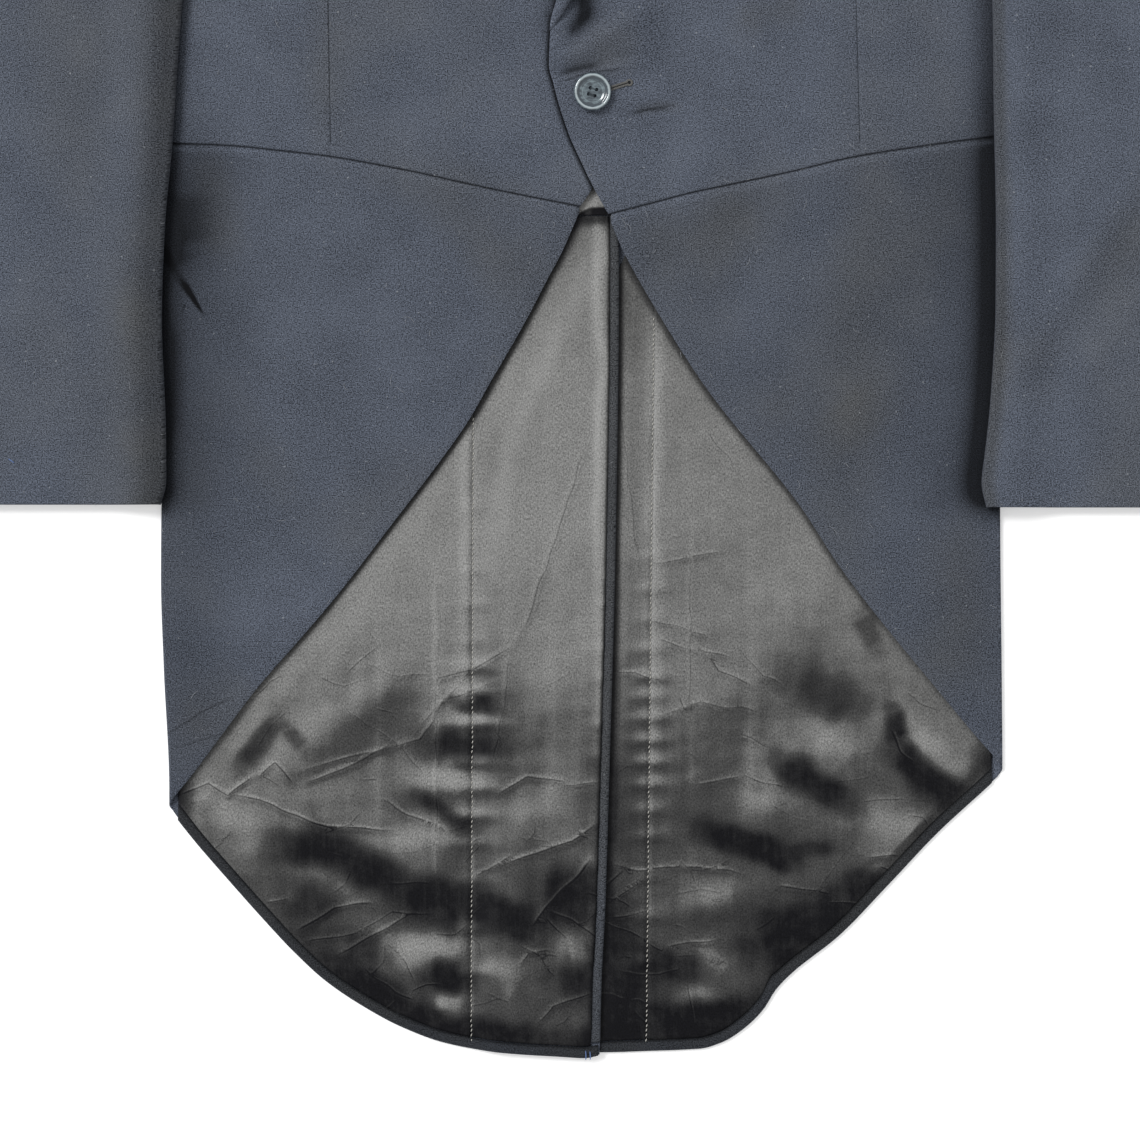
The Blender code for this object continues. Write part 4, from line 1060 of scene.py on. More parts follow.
def make_skirt(side, bolt):
    """Skirt from the pleat, round the side fold, to the cutaway edge: straight columns between the hem or
    cutaway line and the waist seam, with a half circle of columns round the fold."""
    tangent = SIDE_WAIST_OUT - FOLD
    under = fine((PLEAT[side][0][1], SKIRT_TURN_OUT), UNDER_STEP)
    over = fine((SKIRT_TURN_OUT, 22.0, SKIRT_POINT_OUT[side]), TOP_STEP)
    share = np.linspace(0, 1, FOLD_COLUMNS)
    turns = np.radians(-90 + 180 * share)
    hem, cut = smooth(HEM[side], tangent), smooth(CUTAWAY[side], tangent)
    low = np.concatenate((smooth(HEM[side], under), hem + (cut - hem) * share, smooth(CUTAWAY[side], over)))
    waist = side_waist(side)
    high = np.concatenate((back_waist(side, under), np.full(FOLD_COLUMNS, waist), smooth(WAIST[side], over)))
    edge = np.array(SKIRT_EDGE_SHARES)
    v = np.concatenate((edge, np.linspace(0.014, 0.986, SKIRT_ROWS), 1 - edge[::-1]))[:, None]
    up = low + (high - SEAM / 2 - low) * v
    start, end = len(under), len(under) + FOLD_COLUMNS
    out = np.empty_like(up)
    out[:, :start] = under
    out[:, 0] = pleat_out(side, up[:, 0]) + SEAM / 2
    sides = smooth(SIDE_EDGE[side], up[:, start:end])
    if side == "right":
        fold_up = up[:, start:end]
        sides = sides + 2.2 * ease(306, 330, fold_up) * ease(waist + 4, waist - 20, fold_up)
    out[:, start:end] = sides - WOOL / 2 - FOLD + FOLD * np.cos(turns)
    out[:, end:] = over
    height = back_height(side, out, up) if side == "left" else BACK_Z + 0 * up
    height = BACK_Z + (height - BACK_Z) * ease(218, 200, out)
    height[:, start:end] = BACK_Z + FOLD * (1 + np.sin(turns))
    fold_out = tangent + 0.01 * np.arange(FOLD_COLUMNS)
    low_slope = np.gradient(low, np.concatenate((under, fold_out, over[:1] - 0.01, over[1:])))
    from_edge = (up - low) * np.sqrt(1 / (1 + low_slope ** 2))
    front = front_height(side, out, up) + waist_groove(side, out, up)
    front = front - 0.3 * ease(1.6, 0, from_edge) + 0.35 * ease(11, 7.5, from_edge) * ease(226, 200, out)
    height[:, end:] = front[:, end:]
    across = SIGN[side] * out
    top = np.arange(out.shape[1]) >= start + FOLD_COLUMNS // 2
    # Painted shade: browner zones, dark hollows, and the shade beside the sleeve and towards the side fold
    brown = strokes(BROWN, across, up) * top
    everywhere, beside_fold = SKIRT_SHADE[side]
    black = strokes(BLACK, across, up) + sleeve_shade(side, out, up) + everywhere
    black = (black + beside_fold * ease(165, 222, out)) * top
    below = smooth(WAIST[side], out) - up
    # Painted highlight on the lower lip of the waist seam
    black = black - 0.25 * hump(below / SEAM_LINE - 2.4, 1.3) * top
    aside, crease = waist_line(nearest_crease(WOOL_CREASES, across, up, WOOL_CREASE_REACH), below)
    marks = ("brown", brown), ("black", black), ("aside", aside), ("crease", crease * top)
    return cloth(f"skirt_{side}", side, with_height(column(out, up), height), bolt,
                 marks, ("floor", f"lining_skirt_{side}_cloth"))


def dart(side, out, up):
    """Distance outwards from the dart's seam, and how deep that seam is at this height."""
    return out - smooth(DART[side], up), ease(DART_TOP, DART_TOP - 60, up)


def forepart_height(side, out, up):
    """Middle of a forepart's wall, with its waist seam, its dart and the stitched band along its edge."""
    from_edge = out - smooth(FRONT_EDGE[side], up)
    from_dart, depth = dart(side, out, up)
    height = front_height(side, out, up) + waist_groove(side, out, up)
    height = height - 0.42 * depth * hump(from_dart, 0.8) + 0.18 * depth * hump(from_dart - 2.4, 2.0)
    stitched = ease(11, 7.5, from_edge) * ease(5, 18, up - smooth(WAIST[side], out))
    return height - 0.3 * ease(1.6, 0, from_edge) + 0.3 * stitched


def forepart_marks(side, out, up):
    """What the wool reads from a forepart: its browner and darker places of painted shade, and the line that
    is nearest. A line is a crease's painted shade, the dart, the waist seam or, on the right forepart, the
    painted shadow of the left one's edge on it."""
    across = SIGN[side] * out
    from_dart, depth = dart(side, out, up)
    black = strokes(BLACK, across, up) if side == "left" else 0 * up
    black = black + sleeve_shade(side, out, up) * ease(860, 700, up)
    lines = nearest_crease(WOOL_CREASES if side == "left" else (), across, up, WOOL_CREASE_REACH)
    away = np.abs(from_dart)
    lines = over_lines(lines, away < 4, from_dart / 0.6, 0.8 * depth * ease(3.4, 2.2, away))
    if side == "right":
        # Painted shadow of the left front's edge as a dark line beside it, and painted shade in the hollow by
        # the lapel's roll
        past = across - smooth(FRONT_EDGE["left"], up)
        beside = (past + 0.4) / 2.6
        away = np.abs(beside)
        lines = over_lines(lines, away < 5, beside, ease(3.4, 2.0, away))
        black = black + 0.75 * hump(past, 4.5) * ease(548, 566, up) * (past < 1)
    aside, crease = waist_line(lines, up - smooth(WAIST[side], out))
    return ("brown", strokes(BROWN, across, up)), ("black", black), ("aside", aside), ("crease", crease)


def make_forepart(side, bolt):
    """Front from the side seam and armhole to the front edge and lapel roll: a Coons patch between its four
    edges, with arcs that turn under at the side and shoulder."""
    waist = side_waist(side) + SEAM / 2
    beside = EDGE_LINES[1:]
    outer_ups = np.array((waist, *(waist + np.array(beside)), *FOREPART_SIDE_UPS, *ARMHOLE_UPS[:-1],
                          SHOULDER_POINT[1] - FOLD))
    inner_ups = FRONT_EDGE[side][0][0] + SEAM / 2 + np.array((0, *beside, *FOREPART_FRONT_RISE))
    inner_ups = np.append(inner_ups, FRONT_EDGE[side][-1][0] - FOLD)
    outer_ups, inner_ups = lines_between((outer_ups, inner_ups), TOP_STEP)
    turned = ramp(*UNDERARM, outer_ups)
    outer = body_edge(side, outer_ups)
    outer = outer - np.where(outer_ups < ARMHOLE_UPS[0], WOOL / 2, SEAM / 2) - reach(FOLD, BODY_TURN, turned)
    first = column(outer, outer_ups)
    last = column(smooth(FRONT_EDGE[side], inner_ups), inner_ups)
    breadth = first[0, 0] - last[0, 0]
    dart_share = (first[0, 0] - DART[side][0][1]) / breadth
    lines = np.sort(np.concatenate((fine((0, 1), TOP_STEP / breadth),
                                    dart_share + np.linspace(-4, 4, DART_COLUMNS) / breadth,
                                    1 - np.array(EDGE_LINES[1:]) / breadth)))
    u = lines[np.concatenate(([True], np.diff(lines) > 0.0012))]
    u[-1] = 1.0
    waist_out = first[0, 0] - breadth * u
    low = column(waist_out, smooth(WAIST[side], waist_out) + SEAM / 2)
    low[0], low[-1] = first[0], last[0]
    high = along((first[-1], last[-1]), u)
    grid = patch(low, high, first, last, u, shares(inner_ups))
    points = with_height(grid, forepart_height(side, grid[..., 0], grid[..., 1]))
    turns = len(TURN_SHARES)
    rolled = turn_edge(points[:, 0], (1, 0), FOLD, BODY_TURN, turned, 1.0)
    points = np.concatenate((rolled.transpose(1, 0, 2), points), axis=1)
    shoulder = turn_edge(points[-1], (0, 1), FOLD, BODY_TURN, np.ones(points.shape[1]), 1.0)
    points = np.concatenate((points, shoulder[::-1]), axis=0)
    marks = tuple((name, np.pad(amount, ((0, turns), (turns, 0)), mode="edge"))
                  for name, amount in forepart_marks(side, grid[..., 0], grid[..., 1]))
    return cloth(f"forepart_{side}", side, points, bolt, marks, ("lining_body_cloth",))


def make_back(side, bolt):
    """Back and tail from the shoulder to the hem: a Coons patch with an arc that turns up at the shoulder."""
    ups = np.array((0, 60, 230, 400, VENT_TOP + 1, *BACK_SEAM_UPS, *ARMHOLE_UPS[2:-1]))
    hem_out = np.array((PLEAT[side][0][1] - SEAM / 2, CENTRE[side][0][1]))
    hem_up = smooth(HEM[side], hem_out)
    outer_ups = np.append(ups, SHOULDER_POINT[1] - FOLD)
    inner_ups = np.append(ups, BACK_NECK[-1][1])
    outer_ups[0], inner_ups[0] = hem_up
    outer_ups, inner_ups = lines_between((outer_ups, inner_ups), UNDER_STEP)
    outer = np.where(outer_ups < BACK_SEAM[side][0][0], pleat_out(side, outer_ups),
                     smooth(BACK_SEAM[side], outer_ups)) - SEAM / 2
    outer = np.where(outer_ups < ARMHOLE_UPS[2], outer, armhole(outer_ups) - SEAM / 2)
    first = column(outer, outer_ups)
    last = column(smooth(CENTRE[side], inner_ups), inner_ups)
    u = np.concatenate((np.linspace(0, 0.97, 34), (0.98, 0.988, 0.994, 1.0)))
    low_out = hem_out[0] + (hem_out[1] - hem_out[0]) * u
    low = column(low_out, smooth(HEM[side], low_out))
    high = along((SHOULDER_POINT, *BACK_NECK), u)
    shoulder = ramp(60, 80, high[:, 0])
    high[:, 1] -= reach(FOLD, BODY_TURN, 1.0) * shoulder
    high[0], high[-1] = first[-1], last[-1]
    grid = patch(low, high, first, last, u, shares(inner_ups))
    points = with_height(grid, back_height(side, grid[..., 0], grid[..., 1]))
    across = SIGN[side] * grid[..., 0]
    brown = 0.6 * ease(-0.2, 0.8, ripples(across, grid[..., 1], 160, 12))
    radius = FOLD * np.maximum(shoulder, 0.2)
    seamed = turn_edge(points[-1], (0, 1), radius, BODY_TURN, np.ones(len(u)), -1.0)
    points = np.concatenate((points, seamed[::-1]), axis=0)
    brown = np.pad(brown, ((0, len(TURN_SHARES)), (0, 0)), mode="edge")
    return cloth(f"back_{side}", side, points, bolt,
                 (("brown", brown), ("black", 0 * brown)))


def make_side_body(side, bolt):
    """Side body from the back seam to the side edge, a Coons patch with an arc that turns up at the side."""
    ups = fine((*BACK_SEAM_UPS, ARMHOLE_UPS[2]), UNDER_STEP)
    seam = column(smooth(BACK_SEAM[side], ups) + SEAM / 2, ups)
    seam[0, 1] = BACK_WAIST_UP + SEAM / 2
    edge_ups = np.linspace(side_waist(side) + SEAM / 2, ARMHOLE_UPS[0] - 1.0, len(ups))
    turned = ramp(*UNDERARM, edge_ups)
    edge = column(smooth(SIDE_EDGE[side], edge_ups) - WOOL / 2 - reach(FOLD, BODY_TURN, turned), edge_ups)
    u = np.linspace(0, 1, 30)
    low = along((seam[0], edge[0]), u)
    high_ups = seam[-1, 1] + (edge[-1, 1] - seam[-1, 1]) * u
    high = column(armhole(high_ups) - SEAM / 2, high_ups)
    high[0], high[-1] = seam[-1], edge[-1]
    grid = patch(low, high, seam, edge, u, shares(ups))
    points = with_height(grid, BACK_Z)
    rolled = turn_edge(points[:, -1], (1, 0), FOLD, BODY_TURN, turned, -1.0)
    points = np.concatenate((points, rolled[::-1].transpose(1, 0, 2)), axis=1)
    brown = 0.5 * ease(-0.2, 0.8, ripples(points[..., 0], points[..., 1], 120, 14))
    return cloth(f"side_body_{side}", side, points, bolt,
                 (("brown", brown), ("black", 0 * brown)))


def make_lapel(side, bolt):
    """Lapel turned back over the front: an arc of columns rolls over the front's edge and a Coons patch runs
    on to the lapel's own edge, lifted softly beside the roll."""
    u = fine((0, 1), 0.04)
    gorge = along(GORGE, u)
    roll_ups = fine((*LAPEL_UPS, gorge[0, 1]), TOP_STEP * 0.7)
    ups = ramp(LAPEL_UPS[0], gorge[0, 1], roll_ups)
    edge_ups = LAPEL_UPS[0] + (gorge[-1, 1] - LAPEL_UPS[0]) * ups
    roll = column(smooth(FRONT_EDGE[side], roll_ups), roll_ups)
    edge = column(smooth(LAPEL_EDGE, edge_ups), edge_ups)
    gorge[0] = roll[-1]
    grid = patch(along((roll[0], edge[0]), u), gorge, roll, edge, u, ups)
    base = front_height(side, grid[..., 0], grid[..., 1])
    breadth = np.maximum(edge[:, 0] - roll[:, 0], 0.5)[:, None]
    from_roll = grid[..., 0] - roll[:, :1]
    full = 1.6 if side == "left" else 0.0
    puff = full * ease(0, 14, breadth) * hump(from_roll, 12)
    tip = 0.9 if side == "left" else 0.0
    puff = puff + tip * ease(0, 8, breadth) * ease(0.4, 1.0, u)[None] * ease(760, 600, grid[..., 1])
    rise = LAPEL_RISE * ease(554, 576, grid[..., 1])
    height = base + rise + puff
    start = base[:, :1] + rise[:, :1] / 2
    radius = np.minimum(height[:, :1] - start, 0.5 * breadth)
    grid[..., 0] += radius * (1 - u)[None] ** 2
    points = with_height(grid, height)
    turns = np.radians((0, 18, 36, 54, 72))
    rise = (height[:, :1] - start) * np.sin(turns)
    rolled_up = np.repeat(roll[:, 1:], len(turns), axis=1)
    rolled = np.stack((roll[:, :1] + radius * (1 - np.cos(turns)), rolled_up, start + rise), axis=2)
    points = np.concatenate((rolled, points), axis=1)
    across = SIGN[side] * points[..., 0]
    # Painted shade: browner zones, and the lapel's outer part darker low down where it rolls
    brown = strokes(BROWN, across, points[..., 1]) * 0.6
    outer = np.concatenate((np.zeros(len(turns)), u))[None]
    black = 0.6 * ease(0.2, 1.0, outer) * ease(640, 575, points[..., 1])
    return cloth(f"lapel_{side}", side, points, bolt,
                 (("brown", brown), ("black", black)), (f"forepart_{side}_cloth",))


def make_collar(bolt):
    """Collar from one gorge round the back of the neck to the other: straight runs between its two edges."""
    half = np.array(COLLAR, float)
    rows = np.concatenate((half, half[-2::-1] * (-1, 1, -1, 1)))
    length = np.concatenate(([0.0], np.cumsum(np.linalg.norm(np.diff(rows[:, 2:], axis=0), axis=1))))
    at = fine(length, TOP_STEP)
    lines = np.stack([smooth(np.stack((length, rows[:, k]), axis=1), at) for k in range(4)], axis=1)
    share = fine((0, 1), 0.05)[:, None, None]
    grid = lines[None, :, :2] + (lines[None, :, 2:] - lines[None, :, :2]) * share
    height = FRONT_Z + LAPEL_RISE * ramp(*COLLAR_RAMP, np.abs(grid[..., 0]))
    height = height + 0.9 * np.sin(math.pi * np.clip(share[..., 0], 0, 1)) ** 0.7
    brown = 0.5 * ease(0, 0.8, ripples(grid[..., 0], grid[..., 1], 60, 21))
    return cloth("collar", "left", with_height(grid, height), bolt,
                 (("brown", brown), ("black", 0 * brown)), ("back_right_cloth", "back_left_cloth"))


def make_sleeve(side, bolt):
    """Top sleeve and under sleeve of one flattened sleeve: straight rows across, each from the inner to the
    outer edge, with arcs that turn towards each other at both edges."""
    cuff = SLEEVE_INNER[side][0][0]
    ups = fine((cuff, cuff + 0.6, cuff + 1.6, *SLEEVE_UPS, *ARMHOLE_UPS), TOP_STEP)
    joined = ups >= ARMHOLE_UPS[2]
    inner = np.where(joined, armhole(ups) + SEAM / 2, smooth(SLEEVE_INNER[side], ups))
    outer = smooth(SLEEVE_OUTER[side], ups) - WOOL / 2
    turned = ramp(ARMHOLE_UPS[3], ARMHOLE_UPS[2], ups)
    inner = inner + (WOOL / 2 - SLEEVE_LAP * ramp(740, ARMHOLE_UPS[2], ups)) * turned
    gap = WOOL + SLEEVE_HEAD_GAP + (SLEEVE_GAP - SLEEVE_HEAD_GAP) * ramp(935, 880, ups)
    radius = gap / 2
    start = inner + reach(SLEEVE_FOLD, SLEEVE_TURN, turned)
    clear = np.maximum(body_edge(side, ups) + SLEEVE_EASE, start + 1.5)
    end = outer - reach(radius, SLEEVE_TURN, 1.0)
    slope_end = np.minimum(clear + SLEEVE_SLOPE, clear + 0.45 * (end - clear))
    out = lines_between(np.stack((start, clear, slope_end, end), axis=1), TOP_STEP)
    up = np.broadcast_to(ups[:, None], out.shape)
    across = SIGN[side] * out
    on_body = 1 - ease(clear[:, None], slope_end[:, None], out)
    low = (BODY_TOP + SEAM) * on_body * turned[:, None] + WOOL / 2 + front_lie(side, out, up)
    plump = ease(0, 15, out - start[:, None]) * ease(0, 20, end[:, None] - out)
    plump = 2.4 * plump * ramp(935, 840, up) * (0.45 + 0.55 * ease(0, 60, up - cuff))
    inside = ease(0, 12, out - start[:, None]) * ease(0, 12, end[:, None] - out)
    swell = (strokes(SLEEVE_CREASES, across, up) + 0.3 * ripples(across, up, 60, 31)) * inside
    high = low + gap[:, None] + plump + swell
    join = (1 - turned[:, None]) * (1 - ramp(inner[:, None], inner[:, None] + SLEEVE_JOIN, out))
    high = high * (1 - join) + FRONT_Z * join
    near = out - start[:, None]
    width = 12.0 if side == "right" else 3.0
    # Painted shade along the sleeve's rolled inner edge, browner and darker, and darker still on the under
    # sleeve
    brown = strokes(BROWN, across, up) + 0.9 * hump(near, width * 1.8)
    black = hump(np.maximum(near, 0), width) * ease(900, 760, up)
    black = black * (0.5 if side == "right" else 0.22)
    turns = len(TURN_SHARES)
    for name, height, dip in (("top_sleeve", high, 1.0), ("under_sleeve", low, -1.0)):
        points = np.stack((out, up, height), axis=2)
        first = turn_edge(points[:, 0], (-1, 0), SLEEVE_FOLD, SLEEVE_TURN, turned, dip)
        last = turn_edge(points[:, -1], (1, 0), radius, SLEEVE_TURN, np.ones(len(ups)), dip)
        points = np.concatenate((first.transpose(1, 0, 2), points, last[::-1].transpose(1, 0, 2)), axis=1)
        room = ((0, 0), (turns, turns))
        top = name == "top_sleeve"
        rows = slice(None) if top else np.append(np.arange(0, len(ups) - 1, 2), len(ups) - 1)
        marks = (("brown", brown * (1.0 if top else 0.4)),
                 ("black", black + (0.0 if top else 0.75) * hump(near, 9)))
        rests = (f"under_sleeve_{side}_cloth",) if top else ("floor", f"forepart_{side}_cloth")
        marks = tuple((mark, np.pad(amount, room, mode="edge")[rows]) for mark, amount in marks)
        cloth(f"{name}_{side}", side, points[rows], bolt, marks, rests)


# The lining and what borders it

def lining_tone(side, out, up):
    """Darkness of the lining, its painted reflection and shade: its tone at each height, with its listed dark
    and light places, and darker where its relief faces down the coat or to the right, from the relief's slope
    over 0.8 mm."""
    across = SIGN[side] * out
    bent = across + 4.0 * ripples(across, up, 34, 81), up + 3.0 * ripples(across, up, 26, 82)
    # Painted reflection of the sheen: darker lower down, with its dark places, less its highlights
    tone = smooth(SATIN_TONE, up) + 1.15 * strokes(SATIN_DARK, *bent, 3) - 0.6 * strokes(SATIN_LIGHT, *bent)
    tone = tone + (0.12 if side == "left" else 0.0) + 0.1 * ripples(across, up, 70, 71)
    # Painted highlights: light streaks that run up the lining
    for middle, low, high, light, breadth in SATIN_STREAKS:
        beside = (across - middle - 1.2 * ripples(0, up, 130, 73)) / breadth
        shown = ease(low - 25, low + 25, up) * ease(high + 25, high - 25, up)
        tone = tone - light * np.exp(-beside ** 2) * shown
    # Painted shade and highlight from the relief's slope: darker where it faces down the coat or to the right
    step = 0.8
    here = lining_relief(side, out, up)
    climb = (lining_relief(side, out, up + step) - here) / step
    aside = (lining_relief(side, out + SIGN[side] * step, up) - here) / step
    tone = tone + np.clip(1.4 * climb - 1.0 * aside, -0.3, 0.34) * ease(420, 330, up)
    # Painted shadow of the skirt's cutaway edge on the lining beside it
    edge = cutaway_out(side, up) - out
    cut_edge_shadow = hump(np.maximum(edge, 0), 3.0) * ease(150, 330, up)
    tone = tone + (0.9 if side == "right" else 0.5) * cut_edge_shadow
    # Painted shade under the body lining's tuck at the waist
    tone = tone + 0.8 * hump(up - 455, 3.0)
    # Painted shadow beside the vent: of the right tail's edge on the left lining, and a dark line under the
    # vent turn-up's edge on the right
    vent = -smooth(CENTRE["right"], up)
    if side == "left":
        shade = 2.2 + 4.0 * ease(300, 40, up)
        tone = tone + 0.8 * hump(across - vent, shade)
    else:
        tone = tone + 0.7 * hump(across - vent + VENT_TURN, 1.4)
    # Painted shade in the hollow at the folded corner of each skirt
    corner = np.hypot(across - (-222 if side == "right" else 222), up - (140 if side == "right" else 160))
    tone = tone + 0.9 * hump(corner, 9)
    return np.where(tone > 0, 1 - np.exp(-1.9 * np.maximum(tone, 0) ** 1.5), tone)


def small_creases():
    """Short painted creases of three places each, seeded, more of them low down and most of them lying
    across.
    """
    count, seed = SMALL_CREASES
    chance = np.random.default_rng(seed)
    across = chance.uniform(-215, 215, count)
    up = 12 + 230 * chance.beta(1.3, 2.0, count)
    turn = chance.normal(0.15, 0.6, count) * np.where(across < 0, 1, -1)
    length = chance.gamma(3.0, 3.2, count)
    bend = chance.normal(0, 0.4, count)
    strength = chance.uniform(0.2, 0.6, count)
    first = np.stack((across, up), axis=1)
    second = first + length[:, None] * np.stack((np.cos(turn), np.sin(turn)), axis=1)
    third = second + 0.8 * length[:, None] * np.stack((np.cos(turn + bend), np.sin(turn + bend)), axis=1)
    return tuple((1.5, *row) for row in zip(strength, first, second, third))


def lining_marks(side, out, up):
    """What the satin reads from the lining: its tone of painted reflection and shade, and its nearest crease
    with that crease's strength, painted as a dark line of shade with a highlight beside it.
    """
    aside, crease = nearest_crease(SATIN_CREASES + small_creases(), SIGN[side] * out, up, SATIN_CREASE_REACH)
    return ("tone", lining_tone(side, out, up)), ("aside", aside), ("crease", crease)


def make_tail_lining(side, bolt):
    """Lining of one tail, a Coons patch from the hem turn-up to the waist with its creases."""
    inset = VENT_TURN + SEAM if side == "right" else LAPPED_LINING_INSET
    low_first = PLEAT[side][0][1] - 0.02
    low_last = CENTRE[side][0][1] + inset
    breadth = low_first - low_last
    u = fine((0, 1), LINING_STEP / breadth)
    low_out = low_first + (low_last - low_first) * u
    low = column(low_out, hem_inset(side, low_out, HEM_TURN + 2 * SEAM))
    ups = fine((20, WAIST_LINING - SEAM), LINING_STEP)
    first_ups = np.concatenate((np.linspace(low[0, 1], 20, 9)[:-1], ups))
    last_ups = np.concatenate((np.linspace(low[-1, 1], 20, 9)[:-1], ups))
    first = column(pleat_out(side, first_ups) - 0.02, first_ups)
    last = column(smooth(CENTRE[side], last_ups) + inset, last_ups)
    low[0], low[-1] = first[0], last[0]
    high = along((first[-1], last[-1]), u)
    grid = patch(low, high, first, last, u, shares(first_ups))
    out, up = grid[..., 0], grid[..., 1]
    height = inner_height(side, out, up) + lining_relief(side, out, up)
    return cloth(f"lining_tail_{side}", side, with_height(grid, height), bolt,
                 lining_marks(side, out, up), (f"back_{side}_cloth",))


def make_skirt_lining(side, bolt):
    """Lining of the back part of one skirt: straight columns from the hem turn-up to a line under the front,
    which fan out from the pleat."""
    out = fine((PLEAT[side][0][1] + 0.02, SKIRT_LINING_OUT), LINING_STEP)
    low = hem_inset(side, out, HEM_TURN + SEAM)
    high = np.minimum(smooth(CUTAWAY[side], out) + LINING_TUCK, WAIST_LINING)
    up = low + (high - low) * np.linspace(0, 1, SKIRT_LINING_ROWS)[:, None]
    lean = pleat_out(side, up) - PLEAT[side][0][1]
    grid = column(out + lean * ease(44, 0, out - out[0]), up)
    out, up = grid[..., 0], grid[..., 1]
    height = LINING_Z + lining_relief(side, out, up)
    return cloth(f"lining_skirt_{side}", side, with_height(grid, height), bolt,
                 lining_marks(side, out, up), (f"skirt_{side}_cloth",))


def make_body_lining(bolt):
    """Lining of the body seen in the neck and at the point of the fronts, straight rows between its edges."""
    ups = np.concatenate((fine((WAIST_LINING + 0.3, 475), 0.8)[:-1], fine((475, 964), UNDER_STEP)))[:, None]
    grid = column(smooth(NECK_LINING, ups) * fine((-1, 1), 0.036), ups)
    out, up = grid[..., 0], grid[..., 1]
    fold = 0.5 * hump(up - 465, 3.0) * hump(out, 16)
    height = LINING_Z + fold
    # Painted light and shade: lighter where the lining shows at the fronts' point, a near-black band of shade
    # under the tuck along its lower edge and a darker line above it, with a little random tone, and an even
    # tone above 480 mm
    band = ease(1.0, -1.0, up - (457 + 4.6 * ease(-7, 4, out)))
    tone = -0.2 + 1.3 * band + 0.4 * hump(up - 472, 3.0) + 0.3 * ripples(out, up, 9, 41)
    tone = np.where(up > 480, 0.2, tone)
    return cloth("lining_body", "left", with_height(grid, height), bolt,
                 (("tone", tone), ("aside", NO_LINE + 0 * tone), ("crease", 0 * tone)),
                 ("back_right_cloth", "back_left_cloth"))


def make_turn_ups(bolt):
    """Hem and vent turned in: strips of the coat's own cloth that border the lining, slightly crowned, with
    their outer edge rolled down to the outer cloth."""
    insets = np.array((TURN_UP_INSET - 0.25, TURN_UP_INSET + 0.05, 0.8, 1.8, 3.0, 4.3, 5.1, HEM_TURN))
    share = shares(insets)
    crown = 0.45 * np.sin(math.pi * share) ** 0.6 - 0.75 * ease(0.1, 0, share)
    strips = []
    for side, inner in TURN_UP_END.items():
        out = fine((SKIRT_LINING_OUT, inner), 2.0)
        edges = [column(out, hem_inset(side, out, inset)) for inset in insets]
        strips.append((f"hem_turn_up_{side}", side, np.stack(edges)))
    ups = fine((VENT_TURN_START, WAIST_LINING - SEAM), 2.0)
    wide = TURN_UP_INSET + (VENT_TURN - TURN_UP_INSET) * share
    edges = [column(smooth(CENTRE["right"], ups) + inset, ups) for inset in wide]
    strips.append(("vent_turn_up", "right", np.stack(edges)))
    for name, side, grid in strips:
        across = SIGN[side] * grid[..., 0]
        wave = 0.12 * ripples(across, grid[..., 1], 14, 51)
        height = inner_height(side, grid[..., 0], grid[..., 1]) + crown[:, None] + wave
        dark = 0.32 if name == "vent_turn_up" else 0.72
        black = dark + 0.3 * ease(0.7, 1.0, share)[:, None] + 0 * across
        rests = (f"back_{side}_cloth", f"skirt_{side}_cloth")[:1 if name == "vent_turn_up" else 2]
        cloth(name, side, with_height(grid, height), bolt,
              (("brown", 1.1 + 0 * across), ("black", black)), rests)


# Button, sewing and lint

def button_base():
    """Height of the left front's upper face under the button."""
    spot = np.array([[BUTTON_ACROSS]]), np.array([[BUTTON_UP]])
    return float(front_height("left", *spot)[0, 0]) + WOOL / 2


def cut_button(looks):
    """Mesh of the four-hole button at the origin: its profile turned round its axis, less four cylinders."""
    profile = np.array(BUTTON_PROFILE, float)
    reached = np.concatenate(([0.0], np.cumsum(np.linalg.norm(np.diff(profile, axis=0), axis=1))))
    at = fine(reached, 0.45)
    radius = np.interp(at, reached, profile[:, 0]) * looks.button_size / (2 * profile[:, 0].max() * MM)
    height = np.interp(at, reached, profile[:, 1])
    turn = np.arange(BUTTON_SIDES) * 2 * math.pi / BUTTON_SIDES
    ring = np.stack((radius[1:-1, None] * np.cos(turn), radius[1:-1, None] * np.sin(turn),
                     np.repeat(height[1:-1, None], BUTTON_SIDES, axis=1)), axis=2).reshape(-1, 3)
    points = np.concatenate((ring, ((0, 0, height[0]), (0, 0, height[-1])))) * MM
    bottom, top = len(ring), len(ring) + 1
    end = (len(radius) - 3) * BUTTON_SIDES
    first = np.arange(BUTTON_SIDES)
    pairs = list(zip(first.tolist(), ((first + 1) % BUTTON_SIDES).tolist()))
    caps = [(bottom, b, a) for a, b in pairs] + [(top, end + a, end + b) for a, b in pairs]
    mesh = bpy.data.meshes.new("front_button_disc")
    mesh.from_pydata(points.tolist(), [], ring_faces(len(radius) - 2, BUTTON_SIDES).tolist() + caps)
    disc = bpy.data.objects.new("front_button_disc", mesh)
    bpy.context.scene.collection.objects.link(disc)
    away = BUTTON_HOLE_SPACING / math.sqrt(2) * MM
    cutters = []
    for angle in np.radians((45, 135, 225, 315)):
        bpy.ops.mesh.primitive_cylinder_add(vertices=24, radius=BUTTON_HOLE_RADIUS * MM, depth=0.02,
                                            location=(away * math.cos(angle), away * math.sin(angle), 0))
        cutters.append(bpy.context.object)
        hole = disc.modifiers.new("hole", "BOOLEAN")
        hole.operation = "DIFFERENCE"
        hole.solver = "EXACT"
        hole.object = cutters[-1]
    button = bpy.data.meshes.new_from_object(disc.evaluated_get(bpy.context.evaluated_depsgraph_get()))
    for item in (disc, *cutters):
        bpy.data.objects.remove(item, do_unlink=True)
    return button


